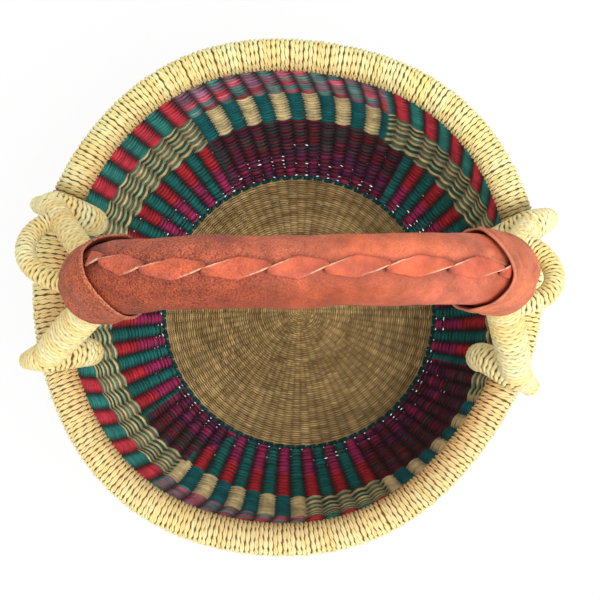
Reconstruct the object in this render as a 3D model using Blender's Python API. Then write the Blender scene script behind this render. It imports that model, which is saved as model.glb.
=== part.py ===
"""A bolga basket: a round twined-grass basket with a whipped rim and a leather-covered arch handle.

Metres, +Z up. X runs along the handle, Y across it, and the floor stands on z = 0.
The wall is a shell turned round the basket's axis. Near the rim it follows the rim's own outline,
which leans to one side and is a little out of round. The handle's pieces follow one arch.
"""

import math

import bmesh
import bpy
from mathutils import Vector

# Clearance between pieces that touch
GAP = 0.0003

# Floor and the strand that borders it
FLOOR_RADIUS = 0.1230
FLOOR_THICK = 0.0050
BORDER_STRAND = 0.0052

# Wall, a shell that swells fast from the floor and slowly from the belly to the mouth
WALL_THICK = 0.0042
BELLY_RADIUS = 0.1735
BELLY_HEIGHT = 0.1150
BELLY_POWER = 2.3
MOUTH_FLARE = 0.0010
LOWER_BAND_TOP = 0.0590
MIDDLE_BAND_TOP = 0.1140
BAND_COURSES = 3

# Rim roll, which stands a little outside the wall that it holds
RIM_OVERHANG = 0.0068
RIM_HEIGHT = 0.1690
RIM_HALF_WIDTH = 0.0125
RIM_HALF_HEIGHT = 0.0110
WRAP_THICK = 0.0028
WRAP_OUTER_STEPS = 11
WRAP_INNER_STEPS = 10

# How the hand-made body strays from a true circle
BODY_X = 0.0059
BODY_Y = -0.0038
RIM_X = -0.0033
RIM_Y = 0.0016
RIM_WAVER = 0.0037
RIM_WAVE_SHARES = (
    (2, 1.00, math.radians(69)),
    (3, 0.54, math.radians(18)),
    (4, 0.25, math.radians(36)),
    (6, 0.27, math.radians(-9)),
)
RIM_DIP = 0.0020
LEAN_POWER = 4

# Handle arch, its leather sleeve and its core
ARCH_INSET = 0.0518
ARCH_SPRING = 0.0520
ARCH_RISE = 0.1300
ARCH_POWER = 2.8
ARCH_DRIFT = 0.0060
LEATHER = 0.0020
SLEEVE_RADIUS = 0.0205
SLEEVE_FLARE = 0.0025
SLEEVE_END = 0.1450
SEAM_OPENING = 0.0016
SEAM_TURN_LEFT = math.radians(26)
SEAM_TURN_RIGHT = math.radians(-3)
CORE_END = 0.1500
STATION = 0.0120

# Twisted lace over the sleeve's seam
LACE_HALF_WIDTH = 0.0056
LACE_HALF_THICK = 0.0012
LACE_PITCH = 0.0350
LACE_PINCH_SHARE = 0.50
LACE_STEP = 0.0044

# Leather hoods over the forks of the arch
HOOD_MOUTH = 0.1150
HOOD_LEG_RINGS = 2
HOOD_SLACK = 0.0008

# Legs and the saddles that they end in, named as they lie in the photograph
LEG_SLIM = 0.0090
LEG_STOUT = 0.0122
FEET = {
    "left_upper": {
        "side": -1,
        "angle": math.radians(161),
        "twist": math.radians(4),
        "outer_turn": math.radians(52),
        "leg_radius": LEG_SLIM,
    },
    "left_lower": {
        "side": -1,
        "angle": math.radians(196.3),
        "twist": math.radians(-8),
        "outer_turn": math.radians(30),
        "leg_radius": LEG_STOUT,
    },
    "right_upper": {
        "side": 1,
        "angle": math.radians(14),
        "twist": math.radians(10),
        "outer_turn": math.radians(-10),
        "leg_radius": LEG_SLIM,
    },
    "right_lower": {
        "side": 1,
        "angle": math.radians(-21),
        "twist": math.radians(-12),
        "outer_turn": math.radians(46),
        "leg_radius": LEG_STOUT,
    },
}
LEG_BOW = 0.0420
LEG_LANDING = 0.0260
LEG_LANDING_SLOPE = 0.45
LEG_STEPS = 11
SADDLE_OUTER_RADIUS = 0.0071
SADDLE_TOP_RADIUS = 0.0122
SADDLE_INNER_RADIUS = 0.0104
SADDLE_SHOULDER = 0.0024
SADDLE_EASE = 0.0011
SADDLE_INNER_TURN = math.radians(203)
SADDLE_STEPS = 8

# Ear loops beside the hoods
EAR_RADIUS = 0.0070
EAR_END_SHARE = 0.29
EARS = {
    "left": {
        "start_share": 0.74,
        "across_share": 0.50,
        "start_reach": 0.0260,
        "end_reach": 0.0620,
        "end_drift": 0.0020,
    },
    "right": {
        "start_share": 0.56,
        "across_share": 1.00,
        "start_reach": 0.0200,
        "end_reach": 0.0580,
        "end_drift": 0.0050,
    },
}
EAR_STEPS = 14

# Facets
AROUND = 52
TUBE_SIDES = 10
SLEEVE_SIDES = 14
BORDER_SIDES = 8
CAP_RINGS = 2

# Colours: red, green, blue, roughness
STRAW = (0.86, 0.70, 0.40, 0.62)
KHAKI = (0.42, 0.31, 0.13, 0.75)
TEAL = (0.02, 0.14, 0.13, 0.70)
CRIMSON = (0.45, 0.03, 0.06, 0.70)
SAGE = (0.36, 0.34, 0.20, 0.72)
BUNDLE = (0.55, 0.43, 0.20, 0.80)
TERRACOTTA = (0.60, 0.18, 0.10, 0.55)
TERRACOTTA_PALE = (0.70, 0.26, 0.16, 0.60)

MOUTH_RADIUS = BELLY_RADIUS + MOUTH_FLARE
RIM_RADIUS = MOUTH_RADIUS + RIM_OVERHANG
RIM_UNDERSIDE = RIM_HEIGHT - RIM_HALF_HEIGHT
ARCH_HALF_SPAN = RIM_RADIUS - ARCH_INSET
ARCH_SPRING_Z = RIM_HEIGHT + ARCH_SPRING


def material(name, colour):
    """A plain surface: base colour and roughness, no metal."""
    mat = bpy.data.materials.new(name)
    mat.use_nodes = True
    shader = mat.node_tree.nodes["Principled BSDF"]
    shader.inputs["Base Color"].default_value = (*colour[:3], 1)
    shader.inputs["Roughness"].default_value = colour[3]
    shader.inputs["Metallic"].default_value = 0
    return mat


def skin(name, rings, colour, closed=False):
    """Bridge a row of rings of points into one closed body, capped unless the row closes on itself."""
    bm = bmesh.new()
    loops = [[bm.verts.new(point) for point in ring] for ring in rings]
    pairs = list(zip(loops, loops[1:]))
    if closed:
        pairs.append((loops[-1], loops[0]))
    for here, there in pairs:
        for i in range(len(here)):
            j = (i + 1) % len(here)
            bm.faces.new((here[i], here[j], there[j], there[i]))
    if not closed:
        bm.faces.new(loops[0][::-1])
        bm.faces.new(loops[-1])
    bmesh.ops.recalc_face_normals(bm, faces=bm.faces)
    mesh = bpy.data.meshes.new(name)
    bm.to_mesh(mesh)
    bm.free()
    mesh.shade_smooth()
    mesh.set_sharp_from_angle(angle=math.radians(40))
    mesh.materials.append(material(name, colour))
    obj = bpy.data.objects.new(name, mesh)
    bpy.context.collection.objects.link(obj)
    return obj


def between(low, high, share):
    """The value a share of the way from low to high."""
    return low + (high - low) * share


# The basket's body

def lean_share(z):
    """How much of the rim's lean and outline a height takes on: none at the floor, all at the rim."""
    return min(1.0, z / RIM_UNDERSIDE) ** LEAN_POWER


def outline(angle):
    """How far the rim stands out past its mean radius: an oval with small lobes, as waves round it."""
    return sum(RIM_WAVER * share * math.cos(count * (angle - turn)) for count, share, turn in RIM_WAVE_SHARES)


def body_point(angle, radius, z):
    """A point of the body, given round the axis, with the lean and outline of its height."""
    share = lean_share(z)
    reach = radius + share * outline(angle)
    dip = share * RIM_DIP * math.cos(2 * angle)
    x = between(BODY_X, RIM_X, share) + reach * math.cos(angle)
    y = between(BODY_Y, RIM_Y, share) + reach * math.sin(angle)
    return Vector((x, y, z + dip))


def turned(name, section, colour):
    """Carry a closed section of (radius, height) points once round the body."""
    angles = [2 * math.pi * i / AROUND for i in range(AROUND)]
    rings = [[body_point(angle, r, z) for r, z in section] for angle in angles]
    return skin(name, rings, colour, closed=True)


BORDER_RADIUS = FLOOR_RADIUS + GAP + BORDER_STRAND / 2
FOOT_SLOPE = math.atan2(BELLY_HEIGHT, BELLY_POWER * (BELLY_RADIUS - BORDER_RADIUS))
FOOT_REACH = BORDER_STRAND / 2 + GAP
FOOT_RADIUS = BORDER_RADIUS + FOOT_REACH * math.cos(FOOT_SLOPE)
FOOT_HEIGHT = BORDER_STRAND / 2 + FOOT_REACH * math.sin(FOOT_SLOPE)


def wall_radius(z):
    """Radius of the wall's middle: a power curve up to the belly, then a slow rise to the mouth."""
    if z < BELLY_HEIGHT:
        share = (BELLY_HEIGHT - z) / (BELLY_HEIGHT - FOOT_HEIGHT)
        return between(BELLY_RADIUS, FOOT_RADIUS, share ** BELLY_POWER)
    share = min(1.0, (z - BELLY_HEIGHT) / (RIM_UNDERSIDE - BELLY_HEIGHT))
    return between(BELLY_RADIUS, MOUTH_RADIUS, share ** 2)


def wall_section(bottom, top, tucked=()):
    """The closed section of a band of wall: its outer side upwards, then its inner side down."""
    outer, inner = [], []
    for z in [between(bottom, top, i / BAND_COURSES) for i in range(BAND_COURSES + 1)] + list(tucked):
        run = Vector((wall_radius(z + GAP) - wall_radius(z - GAP), 2 * GAP)).normalized()
        across = Vector((run.y, -run.x)) * WALL_THICK / 2
        middle = Vector((wall_radius(z), z))
        outer.append(middle + across)
        inner.append(middle - across)
    return outer + inner[::-1]


def ring_section(radius, height, reach_x, reach_z, sides):
    """A closed oval section of (radius, height) points, with a flat below."""
    turns = [2 * math.pi * (i + 0.5) / sides for i in range(sides)]
    return [(radius + reach_x * math.cos(t), height + reach_z * math.sin(t)) for t in turns]


def build_floor():
    """The woven floor, a flat disc inside its border strand."""
    angles = [2 * math.pi * i / AROUND for i in range(AROUND)]
    rings = [[body_point(angle, FLOOR_RADIUS, z) for angle in angles] for z in (0, FLOOR_THICK)]
    skin("woven_floor", rings, KHAKI)


def build_border():
    """The dark strand twined round the floor, where the wall turns up."""
    half = BORDER_STRAND / 2
    turned("floor_border_row", ring_section(BORDER_RADIUS, half, half, half, BORDER_SIDES), TEAL)


def build_wall():
    """Three bands of twined wall, one above another, the last one tucked up into the rim roll."""
    turned("wall_striped_band", wall_section(FOOT_HEIGHT, LOWER_BAND_TOP), CRIMSON)
    turned("wall_wavy_band", wall_section(LOWER_BAND_TOP + GAP, MIDDLE_BAND_TOP), SAGE)
    block = wall_section(MIDDLE_BAND_TOP + GAP, RIM_UNDERSIDE, tucked=[RIM_HEIGHT])
    turned("wall_block_band", block, TEAL)


# The rim roll, in its own section: across the roll and up

SLOT_OUTER = WALL_THICK / 2 + GAP - RIM_OVERHANG
SLOT_INNER = -WALL_THICK / 2 - GAP - RIM_OVERHANG
WRAP_BORE_WIDTH = RIM_HALF_WIDTH - WRAP_THICK
WRAP_BORE_HEIGHT = RIM_HALF_HEIGHT - WRAP_THICK


def wrap_side(half_width, half_height, steps):
    """An oval from the slot's outer edge, round over the top, to the slot's inner edge."""
    start = -math.acos(SLOT_OUTER / half_width)
    end = 2 * math.pi - math.acos(SLOT_INNER / half_width)
    turns = [between(start, end, i / steps) for i in range(steps + 1)]
    return [(RIM_RADIUS + half_width * math.cos(t), RIM_HEIGHT + half_height * math.sin(t)) for t in turns]


def build_rim():
    """The whipping is a rolled shell, open below where the wall enters, round the bundle of grass."""
    outer = wrap_side(RIM_HALF_WIDTH, RIM_HALF_HEIGHT, WRAP_OUTER_STEPS)
    inner = wrap_side(WRAP_BORE_WIDTH, WRAP_BORE_HEIGHT, WRAP_INNER_STEPS)
    turned("rim_whipping", outer + inner[::-1], STRAW)
    low, high = SLOT_OUTER, WRAP_BORE_WIDTH - 2 * GAP
    reach = (high - low) / 2
    section = ring_section(RIM_RADIUS + low + reach, RIM_HEIGHT, reach, reach, BORDER_SIDES)
    turned("rim_grass_hoop", section, BUNDLE)


# Tubes along paths

def circle(centre, across, up, radius, sides):
    """A ring of points round a centre, in the plane of two directions."""
    turns = [2 * math.pi * (i + 0.5) / sides for i in range(sides)]
    return [centre + across * radius * math.cos(t) + up * radius * math.sin(t) for t in turns]


def path_tangents(points):
    """The direction of a row of points at each of them."""
    last = len(points) - 1
    return [(points[min(i + 1, last)] - points[max(i - 1, 0)]).normalized() for i in range(last + 1)]


def tube_rings(points, radii, first_up, sides=TUBE_SIDES, first_run=None):
    """Rings along a path, each turned as little as possible from the one before."""
    up = first_up
    tangents = path_tangents(points)
    tangents[0] = first_run or tangents[0]
    rings = []
    for point, tangent, radius in zip(points, tangents, radii):
        across = tangent.cross(up).normalized()
        up = across.cross(tangent)
        rings.append(circle(point, across, up, radius, sides))
    return rings


def domed(points, radii):
    """Add a rounded end to both ends of a path, as smaller and smaller rings."""
    tangents = path_tangents(points)
    start, end = [], []
    for i in range(1, CAP_RINGS + 1):
        turn = math.pi / 2 * i / (CAP_RINGS + 1)
        along, shrink = math.sin(turn), math.cos(turn)
        start.insert(0, (points[0] - tangents[0] * radii[0] * along, radii[0] * shrink))
        end.append((points[-1] + tangents[-1] * radii[-1] * along, radii[-1] * shrink))
    row = start + list(zip(points, radii)) + end
    return [point for point, _ in row], [radius for _, radius in row]


def cut_away(obj, cutters):
    """Seat a piece against its neighbours by cutting their swollen shapes out of it."""
    for cutter in cutters:
        cutter.hide_render = True
        cutter.display_type = "WIRE"
        modifier = obj.modifiers.new("seat_" + cutter.name, "BOOLEAN")
        modifier.operation = "DIFFERENCE"
        modifier.object = cutter


# The handle's arch: a squarish half oval, measured by its length from the top

def arch_outline(steps=400):
    """Points of the arch from its top down to the spring line on the +X side."""
    points = []
    for i in range(steps + 1):
        turn = math.pi / 2 * i / steps
        x = ARCH_HALF_SPAN * math.sin(turn) ** (2 / ARCH_POWER)
        z = ARCH_SPRING_Z + ARCH_RISE * math.cos(turn) ** (2 / ARCH_POWER)
        points.append(Vector((x, 0, z)))
    return points


ARCH = arch_outline()


def arch_point(length):
    """The arch's middle at a signed length from the top. Towards +X the arch drifts to one side."""
    left = abs(length)
    for here, there in zip(ARCH, ARCH[1:]):
        step = (there - here).length
        if left <= step:
            point = here.lerp(there, left / step)
            reach = math.copysign(point.x, length)
            share = (reach / ARCH_HALF_SPAN + 1) / 2
            return Vector((BODY_X + reach, BODY_Y + ARCH_DRIFT * share ** 3, point.z))
        left -= step
    raise ValueError("the handle's pieces reach past the spring line of the arch")


def arch_frame(length):
    """Place, direction towards +X, and outward direction of the arch at a length from the top."""
    tangent = (arch_point(length + GAP) - arch_point(length - GAP)).normalized()
    outward = Vector((0, 1, 0)).cross(tangent) * -1
    return arch_point(length), tangent, outward


def seam_frame(length):
    """The arch's place with the side and outward directions at the seam, which wanders to one side."""
    centre, _, outward = arch_frame(length)
    share = (length + SLEEVE_END) / (2 * SLEEVE_END)
    turn = between(SEAM_TURN_RIGHT, SEAM_TURN_LEFT, (1 - share) ** 2)
    across = Vector((0, 1, 0))
    side = across * math.cos(turn) - outward * math.sin(turn)
    return centre, side, outward * math.cos(turn) + across * math.sin(turn)


def stations(start, end, step=STATION):
    """Lengths from start to end, on a grid that all of the arch's pieces share."""
    first = math.floor(start / step) + 1
    last = math.ceil(end / step) - 1
    return [start] + [i * step for i in range(first, last + 1)] + [end]


def sleeve_radius(length):
    """The sleeve's outer radius, which swells towards the hoods."""
    return SLEEVE_RADIUS + SLEEVE_FLARE * (length / SLEEVE_END) ** 2


def core_radius(length):
    """The grass core fills the sleeve."""
    return sleeve_radius(length) - LEATHER - GAP


def arc_ring(length, radius, opening, sides):
    """Points round the arch from one edge of the top seam to the other."""
    centre, side, outward = seam_frame(length)
    start = math.pi / 2 + opening / (2 * radius)
    turns = [start + (2 * math.pi - opening / radius) * i / sides for i in range(sides + 1)]
    return [centre + side * radius * math.cos(t) + outward * radius * math.sin(t) for t in turns]


def build_core():
    """The bundle of grass inside the leather."""
    rings = []
    for length in stations(-CORE_END, CORE_END):
        centre, _, outward = arch_frame(length)
        rings.append(circle(centre, Vector((0, 1, 0)), outward, core_radius(length), TUBE_SIDES))
    skin("handle_grass_core", rings, BUNDLE)


def build_sleeve():
    """The leather sleeve, rolled round the core with its edges meeting along the top."""
    rings = []
    for length in stations(-SLEEVE_END, SLEEVE_END):
        radius = sleeve_radius(length)
        bore = (radius - LEATHER) / math.cos(math.pi / SLEEVE_SIDES)
        outer = arc_ring(length, radius, SEAM_OPENING, SLEEVE_SIDES)
        inner = arc_ring(length, bore, SEAM_OPENING, SLEEVE_SIDES)
        rings.append(outer + inner[::-1])
    skin("leather_sleeve", rings, TERRACOTTA)


def lace_ring(length):
    """The lace's flat oval section, half a turn further round at each pitch, resting on the sleeve."""
    centre, side, outward = seam_frame(length)
    turn = -math.pi * length / LACE_PITCH
    half = LACE_HALF_WIDTH * (1 - LACE_PINCH_SHARE * math.sin(turn) ** 2)
    support = math.hypot(half * math.sin(turn), LACE_HALF_THICK * math.cos(turn))
    middle = centre + outward * (sleeve_radius(length) + GAP + support)
    wide = side * math.cos(turn) + outward * math.sin(turn)
    thick = outward * math.cos(turn) - side * math.sin(turn)
    turns = [2 * math.pi * i / BORDER_SIDES for i in range(BORDER_SIDES)]
    return [middle + wide * half * math.cos(t) + thick * LACE_HALF_THICK * math.sin(t) for t in turns]


def build_lace():
    """The leather lace, a strip twisted along the seam so that it turns over at every pitch."""
    end = HOOD_MOUTH - GAP
    skin("seam_lace", [lace_ring(length) for length in stations(-end, end, LACE_STEP)], TERRACOTTA_PALE)


# Legs, saddles, ears and hoods

def foot_frame(foot):
    """The rim's middle at a foot, and the outward direction of its saddle, twisted a little."""
    middle = body_point(foot["angle"], RIM_RADIUS, RIM_HEIGHT)
    heading = foot["angle"] + foot["twist"]
    return middle, Vector((math.cos(heading), math.sin(heading), 0))


def saddle_radius(foot, turn):
    """Thickest over the rim, slimmer at the outer knob than at the inner one."""
    if turn < math.pi / 2:
        share = (math.pi / 2 - turn) / (math.pi / 2 - foot["outer_turn"])
        return between(SADDLE_TOP_RADIUS, SADDLE_OUTER_RADIUS, math.sin(share * math.pi / 2))
    share = (turn - math.pi / 2) / (SADDLE_INNER_TURN - math.pi / 2)
    return between(SADDLE_TOP_RADIUS, SADDLE_INNER_RADIUS, math.sin(share * math.pi / 2))


def saddle_point(foot, turn):
    """The saddle's middle at a turn round the rim roll, from outside, over the top, to inside."""
    middle, outward = foot_frame(foot)
    off = saddle_radius(foot, turn) + SADDLE_EASE
    across = (RIM_HALF_WIDTH / math.cos(foot["twist"]) + off) * math.cos(turn)
    return middle + outward * across + Vector((0, 0, (RIM_HALF_HEIGHT + off) * math.sin(turn)))


def saddle_solid(name, foot, swell=0.0):
    """A bent, wound roll of grass over the rim with a rounded knob at each end."""
    outer = foot["outer_turn"]
    turns = [between(outer, SADDLE_INNER_TURN, i / SADDLE_STEPS) for i in range(SADDLE_STEPS + 1)]
    points = [saddle_point(foot, turn) for turn in turns]
    radii = [saddle_radius(foot, turn) + swell for turn in turns]
    points, radii = domed(points, radii)
    across = foot_frame(foot)[1].cross(Vector((0, 0, 1)))
    return skin(name, tube_rings(points, radii, across), STRAW)


LEG_TOP_RADIUS = core_radius(CORE_END) / 2 - GAP
LEG_FOOT_RADIUS = SADDLE_TOP_RADIUS - SADDLE_SHOULDER


def bezier(a, b, c, d, share):
    """A point of the curve that leaves a towards b and arrives at d from c."""
    rest = 1 - share
    return a * rest ** 3 + b * 3 * rest ** 2 * share + c * 3 * rest * share ** 2 + d * share ** 3


def leg_point(foot, share):
    """The leg's middle: out of the core's end, bowed outwards, down into the top of its saddle."""
    side = foot["side"]
    end, tangent, _ = arch_frame(side * CORE_END)
    down = tangent * side
    spread = math.copysign(LEG_TOP_RADIUS + GAP, math.sin(foot["angle"]))
    start = end + down * GAP + Vector((0, spread, 0))
    landing = saddle_point(foot, math.pi / 2)
    flat = Vector((landing.x - start.x, landing.y - start.y, 0)).normalized()
    arrive = (flat * LEG_LANDING_SLOPE - Vector((0, 0, 1))).normalized()
    return bezier(start, start + down * LEG_BOW, landing - arrive * LEG_LANDING, landing, share)


def leg_radius(foot, share):
    """From half of the core at the top, through the leg's own thickness, to the saddle's shoulder."""
    if share < 0.5:
        return between(LEG_TOP_RADIUS, foot["leg_radius"], math.sin(share * math.pi))
    return between(foot["leg_radius"], LEG_FOOT_RADIUS, (2 * share - 1) ** 2)


def leg_solid(name, foot, swell=0.0):
    """One wound leg."""
    shares = [i / LEG_STEPS for i in range(LEG_STEPS + 1)]
    points = [leg_point(foot, share) for share in shares]
    radii = [leg_radius(foot, share) + swell for share in shares]
    down = arch_frame(foot["side"] * CORE_END)[1] * foot["side"]
    return skin(name, tube_rings(points, radii, Vector((0, 1, 0)), first_run=down), STRAW)


def build_feet():
    """Four saddles and the four legs that end in them."""
    for name, foot in FEET.items():
        saddle_solid("saddle_" + name, foot)
        leg = leg_solid("leg_" + name, foot)
        cut_away(leg, [saddle_solid("guide_saddle_" + name, foot, GAP)])


def ear_point(ear, upper, lower, share):
    """A loop from the upper leg, out past the rim and back in, under the hood, to the fork or the lower leg."""
    start = leg_point(upper, ear["start_share"])
    end = leg_point(upper, EAR_END_SHARE).lerp(leg_point(lower, EAR_END_SHARE), ear["across_share"])
    outward = Vector((upper["side"], 0, 0))
    gate = end + outward * ear["end_reach"] + Vector((0, ear["end_drift"], 0))
    return bezier(start, start + outward * ear["start_reach"], gate, end, share)


def build_ears():
    """The wound loops that stand out beside the hoods."""
    for side, route in EARS.items():
        upper, lower = FEET[side + "_upper"], FEET[side + "_lower"]
        points = [ear_point(route, upper, lower, i / EAR_STEPS) for i in range(EAR_STEPS + 1)]
        radii = [EAR_RADIUS] * len(points)
        ear = skin("ear_loop_" + side, tube_rings(points, radii, Vector((0, 0, 1)), BORDER_SIDES), STRAW)
        high = leg_solid("guide_upper_leg_" + side, upper, GAP)
        cut_away(ear, [high, leg_solid("guide_lower_leg_" + side, lower, GAP)])


def oval_ring(centre, across, depth, shift, half_across, half_depth, sides=SLEEVE_SIDES):
    """A ring of two half circles set apart, wide enough to hold two legs side by side."""
    ring = []
    for i in range(sides):
        turn = 2 * math.pi * (i + 0.5) / sides
        reach = math.copysign(shift, math.cos(turn)) + half_across * math.cos(turn)
        ring.append(centre + across * reach + depth * half_depth * math.sin(turn))
    return ring


def hood_places(side):
    """Places down the hood: centre, across, depth, shift and the bore's two half sizes."""
    places = []
    for length in stations(HOOD_MOUTH, CORE_END):
        centre, _, outward = arch_frame(side * length)
        bore = sleeve_radius(length) + GAP
        places.append((centre, Vector((0, 1, 0)), outward, 0.0, bore, bore))
    name = "left" if side < 0 else "right"
    upper, lower = FEET[name + "_upper"], FEET[name + "_lower"]
    for i in range(1, HOOD_LEG_RINGS + 1):
        share, before, after = i / LEG_STEPS, (i - 1) / LEG_STEPS, (i + 1) / LEG_STEPS
        high, low = leg_point(upper, share), leg_point(lower, share)
        run_high = (leg_point(upper, after) - leg_point(upper, before)).normalized()
        run_low = (leg_point(lower, after) - leg_point(lower, before)).normalized()
        run = (run_high + run_low).normalized()
        across = high - low
        across = (across - run * across.dot(run)).normalized()
        depth = run.cross(across).normalized() * side
        splay = min(run.dot(run_high), run.dot(run_low))
        radius = max(leg_radius(upper, share), leg_radius(lower, share)) / splay + HOOD_SLACK
        ease = min(1.0, 2 * i / HOOD_LEG_RINGS)
        deep = between(sleeve_radius(CORE_END) + GAP, radius, ease)
        places.append(((high + low) / 2, across, depth, (high - low).length / 2, radius, deep))
    return places


def build_hoods():
    """Each hood is a leather tube, round over the sleeve and flattened over the two legs."""
    chord = 1 / math.cos(math.pi / SLEEVE_SIDES)
    for side, name in ((-1, "left"), (1, "right")):
        places = hood_places(side)
        inner, outer = [], []
        for centre, across, depth, shift, wide, deep in places:
            inner.append(oval_ring(centre, across, depth, shift, wide * chord, deep * chord))
            thick = LEATHER * chord
            outer.append(oval_ring(centre, across, depth, shift, wide * chord + thick, deep * chord + thick))
        skin("leather_hood_" + name, outer + inner[::-1], TERRACOTTA, closed=True)


def main():
    """Clear the scene and build the basket."""
    for obj in list(bpy.data.objects):
        bpy.data.objects.remove(obj)
    build_floor()
    build_border()
    build_wall()
    build_rim()
    build_core()
    build_sleeve()
    build_lace()
    build_feet()
    build_ears()
    build_hoods()


main()
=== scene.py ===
# %% [markdown]
# # A round market basket of twined grass
#
# The real basket is made by hand from dry elephant grass: a spiral floor, a twined wall in dyed strands, a roll
# of grass round the mouth whipped with undyed strand, and one arch handle sleeved in leather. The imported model
# gives every piece its size and place. This notebook dresses it: each plain solid is replaced by strands or
# leather that fill the same space.

import math

import bpy
import numpy as np
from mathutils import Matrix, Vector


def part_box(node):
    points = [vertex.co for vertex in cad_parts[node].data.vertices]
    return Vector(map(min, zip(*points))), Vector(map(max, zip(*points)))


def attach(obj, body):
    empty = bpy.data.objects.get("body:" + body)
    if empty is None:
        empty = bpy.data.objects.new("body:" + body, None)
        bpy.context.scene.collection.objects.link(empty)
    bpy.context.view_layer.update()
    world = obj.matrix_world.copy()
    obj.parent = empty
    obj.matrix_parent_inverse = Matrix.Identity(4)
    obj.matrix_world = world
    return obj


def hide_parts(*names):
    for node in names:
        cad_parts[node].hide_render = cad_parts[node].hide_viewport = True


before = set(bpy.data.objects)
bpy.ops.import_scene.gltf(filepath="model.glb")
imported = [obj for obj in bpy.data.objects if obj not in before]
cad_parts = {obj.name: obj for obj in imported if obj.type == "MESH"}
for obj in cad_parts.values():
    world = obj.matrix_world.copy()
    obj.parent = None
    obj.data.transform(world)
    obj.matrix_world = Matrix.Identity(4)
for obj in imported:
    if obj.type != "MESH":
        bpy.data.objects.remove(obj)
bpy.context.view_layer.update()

# %% [markdown]
# ## Reading the frame
#
# The floor's size and place come straight from the box of its imported solid, so the dressing follows it. Every
# other size, such as the wall's swelling curve or the rim's lean, which a box can't tell, is written as the same
# few named values that the solids were made with.

# %% Sizes of the body
CLEAR = 0.0003
floor_low, floor_high = (np.array(corner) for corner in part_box("woven_floor"))
BODY_X, BODY_Y = (floor_low + floor_high)[:2] / 2
FLOOR_RADIUS = (floor_high[0] - floor_low[0]) / 2
FLOOR_THICK = floor_high[2]
BORDER_STRAND = 0.0052
BELLY_RADIUS = 0.1735
BELLY_HEIGHT = 0.1150
BELLY_POWER = 2.3
MOUTH_RADIUS = 0.1745
LOWER_BAND_TOP = 0.0590
MIDDLE_BAND_TOP = 0.1140
RIM_RADIUS = 0.1813
RIM_HEIGHT = 0.1690
RIM_HALF_WIDTH = 0.0125
RIM_HALF_HEIGHT = 0.0110
RIM_X, RIM_Y = -0.0033, 0.0016
RIM_WAVER = 0.0037
RIM_WAVES = ((2, 1.00, 69), (3, 0.54, 18), (4, 0.25, 36), (6, 0.27, -9))
RIM_DIP = 0.0020
LEAN_POWER = 4
RIM_UNDERSIDE = RIM_HEIGHT - RIM_HALF_HEIGHT
print("floor", round(2 * FLOOR_RADIUS, 4), "m across, centred at", round(BODY_X, 4), round(BODY_Y, 4))

# %% [markdown]
# ## Small tools for numbers
#
# Hand work is never quite even. Random numbers drawn one after another would change whenever a line moves, so
# unevenness comes instead from whole numbers: the same strand and stitch always give the same share. Smooth
# wavering joins such shares with cosine ramps.

# %% Fixed unevenness
def scatter(*keys):
    """A fixed share from 0 to 1 for whole numbers: multiply by a big odd number, fold the bits, keep the top."""
    mixed = np.array([1469598103], dtype=np.uint64)
    with np.errstate(over="ignore"):
        for key in keys:
            mixed = (mixed ^ np.asarray(key, dtype=np.int64).astype(np.uint64)) * np.uint64(0x9E3779B97F4A7C15)
            mixed = mixed ^ (mixed >> np.uint64(29))
    return (mixed >> np.uint64(40)).astype(float) / 2.0 ** 24


def waver(x, *keys):
    """Smooth noise along a line, from -1 to 1: scatter at whole numbers, joined by cosine ramps."""
    cell = np.floor(x).astype(np.int64)
    ramp = (1 - np.cos(np.pi * (x - cell))) / 2
    low, high = scatter(cell, *keys), scatter(cell + 1, *keys)
    return 2 * (low + (high - low) * ramp) - 1


def dapple(x, y, *keys):
    """Smooth noise over a plane, from -1 to 1: waver along x on whole lines of y, joined by cosine ramps."""
    cell = np.floor(y).astype(np.int64)
    ramp = (1 - np.cos(np.pi * (y - cell))) / 2
    low, high = waver(x, cell, *keys), waver(x, cell + 1, *keys)
    return low + (high - low) * ramp


def unit(vectors):
    """Vectors scaled to length one."""
    return vectors / np.maximum(np.linalg.norm(vectors, axis=-1, keepdims=True), 1e-12)


def mix(low, high, share):
    """A share of the way from low to high; shares get a last axis when the ends are colours."""
    share = np.asarray(share)
    if np.ndim(low) and np.shape(low)[-1] in (3, 4) and share.shape[-1:] != (1,):
        share = share[..., None]
    return low + (high - low) * share


print("a share for strand 3, stitch 4:", scatter(3, 4)[0])

# %% [markdown]
# ## From grids to meshes
#
# Every new piece is a tube of some kind: a grid of rows along it and columns round it. A strand's rows follow
# its path; a leather hood's rows follow the handle; even the floor is twined from strands, each a tube. One
# function can therefore build them all. It works on whole arrays, gives each corner a place on the UV map (metres
# along, share of a turn round) and stores the dye colour of every point.

# %% Build a mesh from families of tubes
def tube_quads(rows, cols, closed):
    """Corners (row, column) of every quad, with flat fans of quads over the two ends of an open tube."""
    i, j = np.meshgrid(np.arange(rows if closed else rows - 1), np.arange(cols), indexing="ij")
    i, j = i.ravel(), j.ravel()
    across = np.stack([i, i + 1, i + 1, i], -1)
    around = np.stack([j, j, j + 1, j + 1], -1)
    if not closed:
        k = np.arange(cols // 2 - 1)
        fan = np.stack([0 * k, 2 * k + 1, 2 * k + 2, 2 * k + 3], -1)
        across = np.vstack([across, 0 * fan, 0 * fan + rows - 1])
        around = np.vstack([around, fan, fan[:, ::-1]])
    return across, around


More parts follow.
